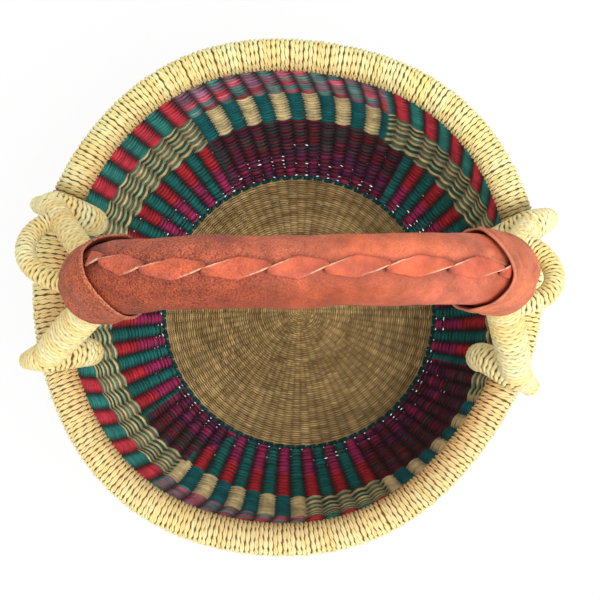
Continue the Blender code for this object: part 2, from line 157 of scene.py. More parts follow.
def make_piece(name, families, finish, replaced=()):
    """Join families of tubes into one mesh.

    A family is (points, paint, lengths, closed): points are tubes x rows x columns x 3, paint holds a colour
    for each point, lengths one value for each row. A family whose signed volume, the sum of every triangle's
    a . (b x c) / 6, comes out negative is turned right side out.
    """
    spots, faces, paints, maps = [], [], [], []
    start = 0
    for points, paint, lengths, closed in families:
        count, rows, cols = points.shape[:3]
        across, around = tube_quads(rows, cols, closed)
        corner = (across % rows) * cols + around % cols
        flat = points.reshape(count, rows * cols, 3)
        a, b, c, d = (flat[0][corner[:, k]] for k in range(4))
        volume = np.sum(a * np.cross(b, c)) + np.sum(a * np.cross(c, d))
        if volume < 0:
            corner, across, around = corner[:, ::-1], across[:, ::-1], around[:, ::-1]
        offsets = start + rows * cols * np.arange(count)
        faces.append((corner[None] + offsets[:, None, None]).reshape(-1, 4))
        lengths = np.broadcast_to(lengths, (count, rows))
        if closed:
            lengths = np.hstack([lengths, 2 * lengths[:, -1:] - lengths[:, -2:-1]])
        place = np.stack([lengths[:, across], np.broadcast_to(around / cols, (count,) + around.shape)], -1)
        maps.append(place.reshape(-1, 2))
        spots.append(flat.reshape(-1, 3))
        paints.append(np.broadcast_to(paint, points.shape[:3] + (4,)).reshape(-1, 4))
        start += count * rows * cols
    spots, faces = np.vstack(spots), np.vstack(faces)
    mesh = bpy.data.meshes.new(name)
    mesh.vertices.add(len(spots))
    mesh.vertices.foreach_set("co", spots.ravel())
    mesh.loops.add(faces.size)
    mesh.loops.foreach_set("vertex_index", faces.ravel().astype(np.int32))
    mesh.polygons.add(len(faces))
    mesh.polygons.foreach_set("loop_start", np.arange(0, faces.size, 4, dtype=np.int32))
    mesh.update(calc_edges=True)
    mesh.uv_layers.new(name="strand").data.foreach_set("uv", np.vstack(maps).ravel())
    paint_layer = mesh.color_attributes.new(name="dye", type="FLOAT_COLOR", domain="POINT")
    paint_layer.data.foreach_set("color", np.vstack(paints).ravel())
    mesh.shade_smooth()
    mesh.materials.append(finish)
    obj = bpy.data.objects.new(name, mesh)
    bpy.context.collection.objects.link(obj)
    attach(obj, "root")
    if replaced:
        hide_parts(*replaced)
    print(name, 2 * len(faces), "triangles")
    return obj


# %% [markdown]
# ## Carrying a section along a path
#
# A grass strand is a flat oval in section and slowly turns over as it is twisted. So the section is an ellipse
# carried along the path, with its own half width, half thickness and turn at every row. A Curve object with a
# bevel could do it for one strand, but not with a section that changes as it goes.

# %% Sweep a section along a path
def heading(path, closed):
    """The direction of travel at each row: the next place less the one before."""
    run = np.roll(path, -1, -2) - np.roll(path, 1, -2)
    if not closed:
        run[..., 0, :] = path[..., 1, :] - path[..., 0, :]
        run[..., -1, :] = path[..., -1, :] - path[..., -2, :]
    return unit(run)


def sweep(path, facing, wide, thick, twist, sides, closed=False):
    """Carry an ellipse along a path: wide*cos(a) across and thick*sin(a) along facing, turned by twist."""
    run = heading(path, closed)
    side = unit(np.cross(run, facing))
    lift = np.cross(side, run)
    turn = 2 * np.pi * np.arange(sides) / sides
    flat = np.asarray(wide)[..., None] * np.cos(turn)
    deep = np.asarray(thick)[..., None] * np.sin(turn)
    c, s = np.cos(twist)[..., None], np.sin(twist)[..., None]
    across, up = flat * c - deep * s, flat * s + deep * c
    return path[..., None, :] + side[..., None, :] * across[..., None] + lift[..., None, :] * up[..., None]


def edge_shaded(colour, sides, edge):
    """Painted shade round a strand: full colour on its two faces, down to the edge's share where cos(a) is 1 or -1."""
    face = np.abs(np.sin(2 * np.pi * np.arange(sides) / sides)) / math.sin(math.pi / 3)
    return painted(colour)[..., None, :] * (edge + (1 - edge) * np.minimum(face, 1))[:, None]


def lengths_along(path):
    """Running length of a path, from zero."""
    steps = np.linalg.norm(np.diff(path, axis=-2), axis=-1)
    return np.concatenate([np.zeros(steps.shape[:-1] + (1,)), np.cumsum(steps, -1)], -1)


# %% [markdown]
# ## Colours of grass and leather
#
# Colours are read and written as they look on a screen, from 0 to 255. Blender's shaders reckon with
# light instead, so each is turned into linear values: x becomes ((x + 0.055) / 1.055) to the power 2.4.

# %% Name the dyes
def dye(red, green, blue):
    """A screen colour as linear red, green, blue."""
    share = np.array([red, green, blue]) / 255
    return np.where(share > 0.04045, ((share + 0.055) / 1.055) ** 2.4, share / 12.92)


CREAM, STRAW, AMBER, HUSK = dye(255, 245, 188), dye(255, 230, 154), dye(238, 176, 104), dye(112, 82, 34)
PEACH = dye(255, 224, 158)
TEAL, DEEP_TEAL, SEA = dye(16, 124, 118), dye(2, 100, 104), dye(84, 168, 156)
RED, DARK_RED, ROSE, MAGENTA = dye(216, 44, 58), dye(146, 24, 38), dye(236, 92, 116), dye(190, 46, 108)
PLUM, MAROON, SLATE, MAUVE = dye(92, 34, 74), dye(106, 28, 48), dye(112, 108, 104), dye(176, 104, 144)
TAN, SAGE, MOSS = dye(242, 220, 162), dye(156, 166, 128), dye(54, 92, 68)
KHAKI, UMBER, DUSK = dye(253, 217, 148), dye(178, 140, 82), dye(140, 112, 120)


def painted(colour):
    """Colours with the fourth number that a colour attribute needs."""
    return np.concatenate([colour, np.ones(np.shape(colour)[:-1] + (1,))], -1)


# %% [markdown]
# ## Two shader groups that every grass finish shares
#
# Dry grass has fine fibres that run along the strand, and its dye takes unevenly. Both effects are wanted on
# straw and on every dyed strand, so each is a node group, built once: `grass_fibre` reads the UV map, where the
# first number runs along the strand in metres, and stretches noise along it; `patchy_dye` reads Object
# coordinates, so that patches cross from one strand to the next.

# %% Make node groups
def node(tree, kind, x=0, y=0, **settings):
    """Add a shader node and set its properties; a key that names an input sets that input's value."""
    made = tree.nodes.new(kind)
    made.location = (x, y)
    for key, value in settings.items():
        if key in made.inputs:
            made.inputs[key].default_value = value
        else:
            setattr(made, key, value)
    return made


def new_group(name, inputs, outputs):
    """An empty node group with named sockets."""
    tree = bpy.data.node_groups.new(name, "ShaderNodeTree")
    for socket, kind, value in inputs:
        made = tree.interface.new_socket(socket, in_out="INPUT", socket_type="NodeSocket" + kind)
        if value is not None:
            made.default_value = value
    for socket, kind in outputs:
        tree.interface.new_socket(socket, in_out="OUTPUT", socket_type="NodeSocket" + kind)
    return tree, tree.nodes.new("NodeGroupInput"), tree.nodes.new("NodeGroupOutput")


def grass_fibre_group():
    """Streaks along a strand: noise on UV coordinates squeezed along the strand; colour, height and mask out."""
    tree, given, out = new_group(
        "grass_fibre",
        [("Colour", "Color", None), ("Contrast", "Float", 0.3), ("Along", "Float", 60.0), ("Round", "Float", 9.0)],
        [("Colour", "Color"), ("Height", "Float"), ("Streak", "Float")],
    )
    place = node(tree, "ShaderNodeUVMap", uv_map="strand")
    stretch = node(tree, "ShaderNodeCombineXYZ")
    scaled = node(tree, "ShaderNodeVectorMath", operation="MULTIPLY")
    noise = node(tree, "ShaderNodeTexNoise", Scale=1.0, Detail=3.0, Roughness=0.6)
    ramp = node(tree, "ShaderNodeMapRange")
    ramp.inputs["From Min"].default_value = 0.3
    ramp.inputs["From Max"].default_value = 0.7
    dark = node(tree, "ShaderNodeMath", operation="MULTIPLY_ADD")
    dark.inputs[2].default_value = 1.0
    lower = node(tree, "ShaderNodeMath", operation="SUBTRACT")
    lower.inputs[1].default_value = 1.0
    tone = node(tree, "ShaderNodeVectorMath", operation="SCALE")
    link = tree.links.new
    link(given.outputs["Along"], stretch.inputs["X"])
    link(given.outputs["Round"], stretch.inputs["Y"])
    link(place.outputs["UV"], scaled.inputs[0])
    link(stretch.outputs["Vector"], scaled.inputs[1])
    link(scaled.outputs["Vector"], noise.inputs["Vector"])
    link(noise.outputs["Fac"], ramp.inputs["Value"])
    link(ramp.outputs["Result"], lower.inputs[0])
    link(lower.outputs["Value"], dark.inputs[0])
    link(given.outputs["Contrast"], dark.inputs[1])
    link(given.outputs["Colour"], tone.inputs["Vector"])
    link(dark.outputs["Value"], tone.inputs["Scale"])
    link(tone.outputs["Vector"], out.inputs["Colour"])
    link(ramp.outputs["Result"], out.inputs["Height"])
    link(ramp.outputs["Result"], out.inputs["Streak"])
    return tree


def patchy_dye_group():
    """Broad and fine patches where dye or age took unevenly: Object noise that scales the colour up and down."""
    tree, given, out = new_group(
        "patchy_dye",
        [("Colour", "Color", None), ("Low", "Float", 0.75), ("High", "Float", 1.15), ("Scale", "Float", 45.0)],
        [("Colour", "Color"), ("Patch", "Float")],
    )
    place = node(tree, "ShaderNodeTexCoord")
    noise = node(tree, "ShaderNodeTexNoise", Detail=4.0, Roughness=0.65)
    ramp = node(tree, "ShaderNodeMapRange")
    ramp.inputs["From Min"].default_value = 0.32
    ramp.inputs["From Max"].default_value = 0.68
    tone = node(tree, "ShaderNodeVectorMath", operation="SCALE")
    link = tree.links.new
    link(place.outputs["Object"], noise.inputs["Vector"])
    link(given.outputs["Scale"], noise.inputs["Scale"])
    link(noise.outputs["Fac"], ramp.inputs["Value"])
    link(given.outputs["Low"], ramp.inputs["To Min"])
    link(given.outputs["High"], ramp.inputs["To Max"])
    link(given.outputs["Colour"], tone.inputs["Vector"])
    link(ramp.outputs["Result"], tone.inputs["Scale"])
    link(tone.outputs["Vector"], out.inputs["Colour"])
    link(ramp.outputs["Result"], out.inputs["Patch"])
    return tree


GRASS_FIBRE, PATCHY_DYE = grass_fibre_group(), patchy_dye_group()


def use_group(tree, group, **values):
    """Place a shader group in a material with its own values."""
    made = node(tree, "ShaderNodeGroup")
    made.node_tree = group
    for socket, value in values.items():
        made.inputs[socket].default_value = value
    return made


def grass_material(name, contrast, low, high, scale, rough, relief):
    """Painted dye, patched and streaked, on a matt strand with a fibre bump."""
    mat = bpy.data.materials.new(name)
    mat.use_nodes = True
    tree = mat.node_tree
    shader = tree.nodes["Principled BSDF"]
    paint = node(tree, "ShaderNodeAttribute", attribute_name="dye")
    patch = use_group(tree, PATCHY_DYE, Low=low, High=high, Scale=scale)
    fibre = use_group(tree, GRASS_FIBRE, Contrast=contrast)
    bump = node(tree, "ShaderNodeBump", Strength=0.6, Distance=relief)
    gloss = node(tree, "ShaderNodeMapRange")
    gloss.inputs["To Min"].default_value = rough + 0.12
    gloss.inputs["To Max"].default_value = rough - 0.08
    link = tree.links.new
    link(paint.outputs["Color"], patch.inputs["Colour"])
    link(patch.outputs["Colour"], fibre.inputs["Colour"])
    link(fibre.outputs["Colour"], shader.inputs["Base Color"])
    link(fibre.outputs["Height"], bump.inputs["Height"])
    link(bump.outputs["Normal"], shader.inputs["Normal"])
    link(fibre.outputs["Streak"], gloss.inputs["Value"])
    link(gloss.outputs["Result"], shader.inputs["Roughness"])
    shader.inputs["Specular IOR Level"].default_value = 0.35
    return mat


straw_finish = grass_material("undyed_straw", 0.14, 0.97, 1.08, 30.0, 0.55, 0.0004)
wall_finish = grass_material("dyed_grass", 0.26, 0.66, 1.36, 90.0, 0.60, 0.0002)
floor_finish = grass_material("khaki_grass", 0.40, 0.72, 1.22, 34.0, 0.65, 0.0003)
print("shader groups", [group.name for group in bpy.data.node_groups])

# %% [markdown]
# ## The body's curve
#
# The wall swells quickly from the floor and rises slowly to the mouth. The mouth isn't quite above the floor:
# the rim leans, is a little oval and has six soft lobes, and the wall takes on more of that the higher it gets.

# %% Places on the body
def lean_share(height):
    """None of the rim's lean at the floor, all of it at the rim: (height / rim underside) to a power."""
    return np.clip(height / RIM_UNDERSIDE, 0, 1) ** LEAN_POWER


def body_place(angle, radius, height):
    """A place round the body: radius and height round the axis, with the lean and outline of that height."""
    share = lean_share(height)
    stray = sum(part * np.cos(count * (angle - math.radians(turn))) for count, part, turn in RIM_WAVES)
    reach = radius + share * RIM_WAVER * stray
    x = mix(BODY_X, RIM_X, share) + reach * np.cos(angle)
    y = mix(BODY_Y, RIM_Y, share) + reach * np.sin(angle)
    z = height + share * RIM_DIP * np.cos(2 * angle)
    return np.stack(np.broadcast_arrays(x, y, z), -1)


BORDER_RADIUS = FLOOR_RADIUS + CLEAR + BORDER_STRAND / 2
FOOT_SLOPE = math.atan2(BELLY_HEIGHT, BELLY_POWER * (BELLY_RADIUS - BORDER_RADIUS))
FOOT_REACH = BORDER_STRAND / 2 + CLEAR
FOOT_RADIUS = BORDER_RADIUS + FOOT_REACH * math.cos(FOOT_SLOPE)
FOOT_HEIGHT = BORDER_STRAND / 2 + FOOT_REACH * math.sin(FOOT_SLOPE)


def wall_radius(height):
    """A power curve from the foot to the belly, then a slow rise to the mouth."""
    below = np.clip((BELLY_HEIGHT - height) / (BELLY_HEIGHT - FOOT_HEIGHT), 0, 1.2) ** BELLY_POWER
    above = np.clip((height - BELLY_HEIGHT) / (RIM_UNDERSIDE - BELLY_HEIGHT), 0, 1) ** 2
    return np.where(height < BELLY_HEIGHT, mix(BELLY_RADIUS, FOOT_RADIUS, below), mix(BELLY_RADIUS, MOUTH_RADIUS, above))


profile_z = np.linspace(FOOT_HEIGHT, RIM_HEIGHT, 600)
profile_r = wall_radius(profile_z)
profile_s = np.concatenate([[0], np.cumsum(np.hypot(np.diff(profile_z), np.diff(profile_r)))])


def wall_row(bottom, top, count):
    """Lengths up the wall of evenly pitched rows between two heights."""
    low, high = np.interp([bottom, top], profile_z, profile_s)
    return low + (high - low) * (np.arange(count) + 0.5) / count


COLUMN_LEAN = math.radians(3.4)


def leaned(angle, length):
    """The columns lean: low on the wall a stake stands at a smaller angle than at the rim."""
    return angle - COLUMN_LEAN * (1 - length / profile_s[-1])


def wall_place(angle, length, off):
    """A place at a length up the wall and a distance outside its middle, with the wall's outward direction."""
    angle = leaned(angle, length)
    height, radius = np.interp(length, profile_s, profile_z), np.interp(length, profile_s, profile_r)
    step = 0.001
    rise = np.interp(length + step, profile_s, profile_z) - np.interp(length - step, profile_s, profile_z)
    reach = np.interp(length + step, profile_s, profile_r) - np.interp(length - step, profile_s, profile_r)
    tall = np.hypot(rise, reach)
    out_r, out_z = rise / tall, -reach / tall
    place = body_place(angle, radius + off * out_r, height + off * out_z)
    facing = np.stack(np.broadcast_arrays(out_r * np.cos(angle), out_r * np.sin(angle), out_z), -1)
    return place, facing


print("wall is", round(profile_s[-1], 4), "m from floor to rim along its curve")

# %% [markdown]
# ## The twined wall
#
# Twining works two strands at a time round eighty upright stakes. They swap front for back between each stake
# and the next, so each strand is a long helix: half a turn per stake. Where both strands keep their side from
# row to row, colours stand in upright columns; where their order is swapped every row, the two colours run in
# waves. Modelling the helices gives both patterns, inside and out, with real gaps between the stitches; a
# printed pattern on a smooth shell could not.

# %% Which colour each stitch has
STAKES = 80
STAKE = 2 * np.pi / STAKES
FIRST_STAKE = math.radians(2.0)


def in_span(angle, spans):
    """Whether an angle lies in any of some spans, given in degrees from the +X direction."""
    turn = np.degrees(angle) % 360
    return np.any([(turn - low) % 360 < (high - low) for low, high in spans], 0)


def pick(options, share):
    """One of some colours for each share from 0 to 1."""
    return np.array(options)[np.minimum((np.asarray(share) * len(options)).astype(int), len(options) - 1)]


MIXED_UPPER = ((65, 121), (234.5, 274.2), (298, 335))
DARK_LOWER = ((57, 120), (218, 236), (296.4, 344))
SWAPPED_BLOCKS = ((180, 360),)


def mixed_rows(stitch, row, strand, seed):
    """Dark leftovers of every dye, stitch by stitch."""
    chance = scatter(stitch, row, strand, seed)
    picked = pick([PLUM * 0.8, MAROON * 0.9, DEEP_TEAL * 0.4, PLUM, DARK_RED * 0.6, SLATE * 0.4, MAROON, SLATE * 0.2,
                   MAROON * 1.3], chance)
    return mix(picked, MAROON * 0.75, 0.35)


def lower_colours(angle, stitch, row, strand):
    """Columns of teal beside red, magenta low down; dark stretches mix plum, maroon and slate."""
    warm = mix(MAGENTA, RED, np.clip((row - 6) / 2, 0, 1)) * 0.82
    columns = np.where((strand % 2 == 0)[..., None], warm, TEAL * 0.80)
    chance = scatter(stitch, row, strand, 13)
    high = mixed_rows(stitch, row, strand, 11)
    low = pick([PLUM * 0.9, MAGENTA * 0.6, MAGENTA * 0.35, PLUM, MAROON * 0.8], chance)
    dark = np.where((row > 6)[..., None], high, low)
    slanted = ((218, 246 - 0.9 * row),)
    return np.where(in_span(angle, DARK_LOWER + slanted)[..., None], dark, columns)


def middle_colours(angle, stitch, row, strand):
    """Waves of tan, sage and moss; blocks of tan beside teal where the band above is mixed."""
    swap = (strand + row) % 2
    light = pick([TAN, TAN * 0.85, SAGE * 1.7], scatter(row, 21))
    dark = pick([MOSS * 1.4, MOSS * 0.8, SAGE * 0.6, MOSS], scatter(row, 22))
    waves = np.where((swap == 0)[..., None], light, dark)
    swapped = (strand + in_span(angle, SWAPPED_BLOCKS)) % 2
    blocks = np.where((swapped == 0)[..., None], TAN * 1.05, DEEP_TEAL * 1.25)
    dark_edge = (row == 0) & in_span(angle, DARK_LOWER)
    blocks = np.where(dark_edge[..., None], mixed_rows(stitch, row, strand, 12), blocks)
    return np.where(in_span(angle, MIXED_UPPER)[..., None], blocks, waves)


def upper_colours(angle, stitch, row, strand):
    """Blocks of red beside teal; mixed stretches of rose, mauve, slate, teal and red."""
    blocks = np.where((strand % 2 == 0)[..., None], mix(RED, ROSE, 0.25) * 1.1, mix(TEAL, SEA, 0.30) * 1.15)
    chance = scatter(stitch, row // 2, strand, 31)
    mixed = pick([MAUVE, ROSE * 1.2, DUSK, TEAL * 1.3, RED, MAUVE * 0.7, DARK_RED * 1.5, DUSK, SEA], chance)
    mixed = 1.3 * mix(mixed, DUSK, 0.15 + 0.5 * scatter(stitch, row, strand, 32))
    return np.where(in_span(angle, MIXED_UPPER)[..., None], mixed, blocks)


# %% Twine rows over any surface
STITCH_SAMPLES = 6
STITCH_SIDES = 6
STITCH_DEPTH = 0.0017
STITCH_THICK = 0.0013
# Painted shade: the share of colour left at the edges of a twined strand
STITCH_EDGE_SHADE = 0.60
# Painted shade where strands cross between stakes: the share of colour kept there on the wall, in the wavy band and on
# the floor
WALL_CREVICE_SHADE, WAVE_CREVICE_SHADE, FLOOR_CREVICE_SHADE = 0.14, 0.56, 0.62
WALL_SLACK = 0.35


def twine(place, rows, pitch, stakes, colours, seed, climb, start=FIRST_STAKE, samples=STITCH_SAMPLES,
          sides=STITCH_SIDES, size=1.0, slack=WALL_SLACK, crevice_shade=WALL_CREVICE_SHADE):
    """Two strands a row: off the surface by depth*cos(phase), across the row by climb*sin(phase).

    The phase grows by half a turn from each stake to the next, and the second strand is half a turn behind the
    first. A stitch is widest where it lies over a stake, and narrow where the strands cross between stakes.
    Slack, one value or one for each row, says how much narrower and how frequent loose stitches are.
    """
    count = len(rows)
    row = np.repeat(np.arange(count), 2)[:, None]
    strand = np.tile([0, 1], count)[:, None]
    step = 2 * np.pi / stakes
    angle = start + 2 * np.pi * np.arange(stakes * samples)[None, :] / (stakes * samples) + 0 * row
    phase = np.pi * ((angle - start) / step + strand)
    stitch = np.round((angle - start) / step).astype(int) % stakes
    uneven = waver(angle * 9, row, seed, 41) * 0.10 * pitch + (scatter(stitch, row, seed, 42) - 0.5) * 0.10 * pitch
    length = rows[row] + uneven + climb(angle) * np.sin(phase)
    face = np.cos(phase) ** 2
    middle, facing = place(angle, length, STITCH_DEPTH * size * np.cos(phase))
    give = np.broadcast_to(slack, (count,))[row]
    is_loose = scatter(stitch, row, seed, 43) > 1 - 0.55 * give
    loose = 1 - 0.72 * give * is_loose + 0.08 * waver(angle * 25, row, seed, 45)
    crossing = 0.54 - 120 * climb(angle)
    wide = pitch * (crossing + (0.55 - crossing) * face) * loose
    thick = STITCH_THICK * size * (0.85 + 0.15 * face)
    points = sweep(middle, facing, wide, thick, 0.25 * np.sin(phase), sides, closed=True)
    colour = colours(angle, stitch, row + 0 * stitch, strand + 0 * stitch)
    shade = 0.85 + 0.30 * scatter(stitch, row, strand, seed, 44)
    # Painted shade: colour falls towards the crevice share where the strands cross between stakes
    depth = crevice_shade + (1 - crevice_shade) * np.minimum(1, 1.6 * face)
    paint = edge_shaded(colour * (shade * depth)[..., None], sides, STITCH_EDGE_SHADE)
    reach = np.linalg.norm(middle[:, :1] - middle[:, 1:2], axis=-1)
    lengths = reach * np.arange(stakes * samples)[None, :] + 0.37 * row + 0.11 * strand
    return points, paint, lengths, True


# %% Twine the three bands of the wall
def straight_climb(angle):
    """Strands cross nearly level, so blocks of colour keep straight edges."""
    return 0.0002 + 0 * angle


def wavy_climb(angle):
    """Level where the band is in blocks, and steep where its strands run in waves."""
    return np.where(in_span(angle, MIXED_UPPER), 0.0002, 0.0012)


def wall_band(name, node_name, bottom, top, count, colours, climb, low_slack=0.0, crevice_shade=WALL_CREVICE_SHADE):
    """One band of the wall, between two heights; low_slack is what its lowest rows are looser by."""
    rows = wall_row(bottom, top, count)
    slack = WALL_SLACK + low_slack * np.exp(-np.arange(count) / 6)
    family = twine(wall_place, rows, rows[1] - rows[0], STAKES, colours, 1, climb, slack=slack, crevice_shade=crevice_shade)
    return make_piece(name, [family], wall_finish, (node_name,))


wall_band("twined_striped_band", "wall_striped_band", FOOT_HEIGHT, LOWER_BAND_TOP, 15, lower_colours,
          straight_climb, 0.30)
wall_band("twined_wavy_band", "wall_wavy_band", LOWER_BAND_TOP, MIDDLE_BAND_TOP, 12, middle_colours,
          wavy_climb, crevice_shade=WAVE_CREVICE_SHADE)
wall_band("twined_block_band", "wall_block_band", MIDDLE_BAND_TOP, RIM_UNDERSIDE + 0.004, 11, upper_colours,
          straight_climb)

# %% [markdown]
# ## The floor and its stakes
#
# The floor is twined in the same way, in undyed grass, starting from a few crossed stakes. As the rows grow
# wider, more stakes are slipped in, so the middle has twenty, the next rows forty and the rest eighty, which then
# turn up into the wall. The stakes are made here as long thin strands through floor and wall, because they show
# as ribs and fill the gaps between the stitches. One dark two-ply row marks the turn.

# %% Twine the floor
FLOOR_MIDDLE = FLOOR_THICK / 2
FLOOR_PITCH = 0.0020
FLOOR_ZONES = ((0.0, 0.0200, 20), (0.0200, 0.0480, 40), (0.0480, FLOOR_RADIUS, 80))
GRASS_SIZE = 0.62


def floor_place(angle, radius, off):
    """A place on the floor at a radius, and a height off its middle, with straight up as its facing."""
    place = body_place(angle, radius, FLOOR_MIDDLE + off)
    return place, np.array([0, 0, 1.0]) + 0 * place


def floor_colours(angle, stitch, row, strand):
    """Khaki, here paler and there browner, changing slowly round and from row to row."""
    tone = 0.5 + 0.35 * waver(angle * 3 + row * 0.37, 61) + 0.55 * (scatter(stitch // 2, row, strand, 62) - 0.5)
    return mix(UMBER, KHAKI, np.clip(tone, 0, 1))


floor_families = []
for zone, (low, high, stakes) in enumerate(FLOOR_ZONES):
    rows = low + FLOOR_PITCH * (np.arange(round((high - low) / FLOOR_PITCH)) + 0.5)
    floor_families.append(twine(floor_place, rows, FLOOR_PITCH, stakes, floor_colours, 70 + zone, straight_climb,
                                FIRST_STAKE - COLUMN_LEAN, 4, 4, GRASS_SIZE, 0.0, FLOOR_CREVICE_SHADE))
make_piece("floor_heart", floor_families[:2], floor_finish, ("woven_floor",))
make_piece("floor_rows", floor_families[2:], floor_finish, ("woven_floor",))

# %% Stakes through floor and wall
STAKE_WIDE, STAKE_THICK = 0.0013, 0.0007


def stake_family(numbers, inner):
    """Stakes from a radius of the floor, out to its edge, round the turn and up the wall to the rim."""
    angle = (FIRST_STAKE + STAKE * np.asarray(numbers))[:, None]
    out = np.linspace(inner, FLOOR_RADIUS - 0.001, 24)
    radius = np.concatenate([out, profile_r[:560:12]])
    height = np.concatenate([0 * out + FLOOR_MIDDLE, profile_z[:560:12]])
    angle = leaned(angle, np.concatenate([0 * out, profile_s[:560:12]])[None, :])
    path = body_place(angle, radius[None, :], height[None, :])
    run = heading(path, False)
    round_way = np.stack([-np.sin(angle), np.cos(angle), 0 * angle], -1)
    facing = np.cross(run, round_way)
    points = sweep(path, facing, STAKE_WIDE + 0 * path[..., 0], STAKE_THICK + 0 * path[..., 0], 0 * path[..., 0], 6)
    shade = 0.75 + 0.4 * scatter(np.arange(len(numbers)), 81)
    colour = mix(UMBER, KHAKI, 0.35) * shade[:, None]
    # Painted shade: a stake's colour falls to a fifth where it runs up inside the wall
    hidden_shade = np.where(np.arange(path.shape[1]) < len(out), 1, 0.2)
    return points, painted(colour[:, None] * hidden_shade[:, None])[:, :, None], lengths_along(path), False


every = np.arange(STAKES)
stakes = [stake_family(every[every % 4 == 0], 0.0003), stake_family(every[every % 4 == 2], FLOOR_ZONES[1][0]),
          stake_family(every[every % 2 == 1], FLOOR_ZONES[2][0])]
make_piece("stakes", stakes, floor_finish)

# %% The dark row round the floor
def border_family():
    """Two plies round a ring: each off its middle by a small circle, half a turn apart."""
    angle = 2 * np.pi * np.arange(960)[None, :] / 960
    turn = STAKES * angle + np.array([[0], [np.pi]])
    swing = BORDER_STRAND * 0.22
    place = body_place(angle, BORDER_RADIUS + swing * np.cos(turn), BORDER_STRAND / 2 + swing * np.sin(turn))
    half = BORDER_STRAND * 0.27 + 0 * turn
    points = sweep(place, np.array([0, 0, 1.0]) + 0 * place, half, half, 0 * turn, 6, closed=True)
    shade = 0.7 + 0.5 * scatter(np.floor(turn / np.pi).astype(int), 91)
    return points, painted(DEEP_TEAL * 0.5 * shade[..., None])[:, :, None, :], FLOOR_RADIUS * angle + 0 * turn, True


make_piece("border_row", [border_family()], wall_finish, ("floor_border_row",))

# %% [markdown]
# ## The rim's whipping
#
# A strand is wound about four hundred times round the roll of grass at the mouth. It is two plies twisted
# together, so seen from any side it is wide, then narrow, then wide again, and the dark bundle shows where two
# narrow places meet. On the rim both plies are modelled, as helices round the strand's own middle. On the limbs,
# whose strand is smoother, one ply that swings to and fro looks the same.

# %% Wind strands round a spine
WIND_STEP = 0.0012
WIND_SIDES = 6
# Painted shade: the share of colour left at the edges of a wound strand
STRAW_EDGE_SHADE = 0.62
PLY_TURN = 0.0082
ROPE_TURN, ROPE_OFFSET = 0.0200, 0.36
# Painted shade: the share of colour left at the edges of the rim's rope plies
ROPE_EDGE_SHADE = 0.84


def wind(spine, seed, pitch, thick, slant=0.0, tint=None, ply=None):
    """A strand round a spine: centre + e1*a*cos(w) + e2*b*sin(w), with w growing by a turn every pitch.

    spine holds rows of centre, e1, e2, the two radii, and the length along its surface. The strand leans by
    slant over the top and swings to and fro so many times and a half in each turn. So neighbours swing against
    each other: they touch and part by turns, which leaves staggered gaps like the eyes of a net. With ply 0 or
    1 it is one ply of a rope instead, half a turn of the rope behind the other.
    """
    centre, first, second, across, deep, along = spine
    turns = max(4, round(along[-1] / pitch))
    round_way = np.pi * (np.max(across) + np.max(deep))
    per_turn = max(16, round(round_way / (WIND_STEP if ply is None else 1.5 * WIND_STEP)))
    share = np.arange(turns * per_turn + 1) / (turns * per_turn)
    angle = 2 * np.pi * turns * share
    eyes = (round(round_way / PLY_TURN) + 0.5) * angle + 1.6 * waver(share * turns * 2.3, seed, 53)
    swing, lift, plump, roll = 0.115, 0.0, 0.47, 0.30
    if ply is not None:
        eyes = (round(round_way / ROPE_TURN) + ROPE_OFFSET) * angle + 1.1 * waver(share * turns * 1.7, seed, 53)
        eyes = eyes + np.pi * ply
        swing, lift, plump, roll = 0.23, 0.50 * thick, 0.295, 0.0
    stray = 0.17 * waver(share * turns * 0.7, seed, 51) + swing * np.cos(eyes)
    where = np.clip(along[-1] * share + slant * np.cos(angle) + pitch * stray, 0, along[-1])
    middle, e1, e2 = (np.stack([np.interp(where, along, part[:, k]) for k in range(3)], -1)
                      for part in (centre, first, second))
    sunk = thick + lift * (1 - np.sin(eyes))
    a = np.maximum(np.interp(where, along, across) - sunk, 1e-4)[:, None]
    b = np.maximum(np.interp(where, along, deep) - sunk, 1e-4)[:, None]
    c, s = np.cos(angle)[:, None], np.sin(angle)[:, None]
    path = middle + e1 * a * c + e2 * b * s
    facing = unit(e1 * c / a + e2 * s / b)
    run = np.concatenate([[0], np.cumsum(np.linalg.norm(np.diff(path, axis=0), axis=1))])
    apart = np.linalg.norm(path[2 * per_turn:] - path[:-2 * per_turn], axis=1) / 2
    apart = np.pad(apart, per_turn, mode="edge")
    wide = np.clip(apart, 0.85 * pitch, 1.8 * pitch) * plump * (1 + 0.08 * waver(run / 0.03, seed, 52))
    shrink = np.clip(np.minimum(a, b)[:, 0] / 0.003, 0.35, 1)
    points = sweep(path, facing, wide * shrink, thick * (1 - 0.10 * np.cos(2 * eyes)) * shrink,
                   roll * np.sin(eyes), WIND_SIDES)
    seed = seed + 7 * (ply or 0)
    colour = mix(STRAW, CREAM, np.clip(0.45 + 0.8 * waver(run / 0.11, seed, 54), 0, 1))
    colour = mix(colour, AMBER, 0.35 * np.clip(waver(run / 0.045, seed, 55), 0, 1) ** 2)
    colour = colour * (0.94 + 0.08 * scatter(np.floor(share * turns).astype(int), seed, 56))[:, None]
    if tint is not None:
        colour = tint(colour, path)
    return points[None], edge_shaded(colour, WIND_SIDES, STRAW_EDGE_SHADE if ply is None else ROPE_EDGE_SHADE)[None], run, False


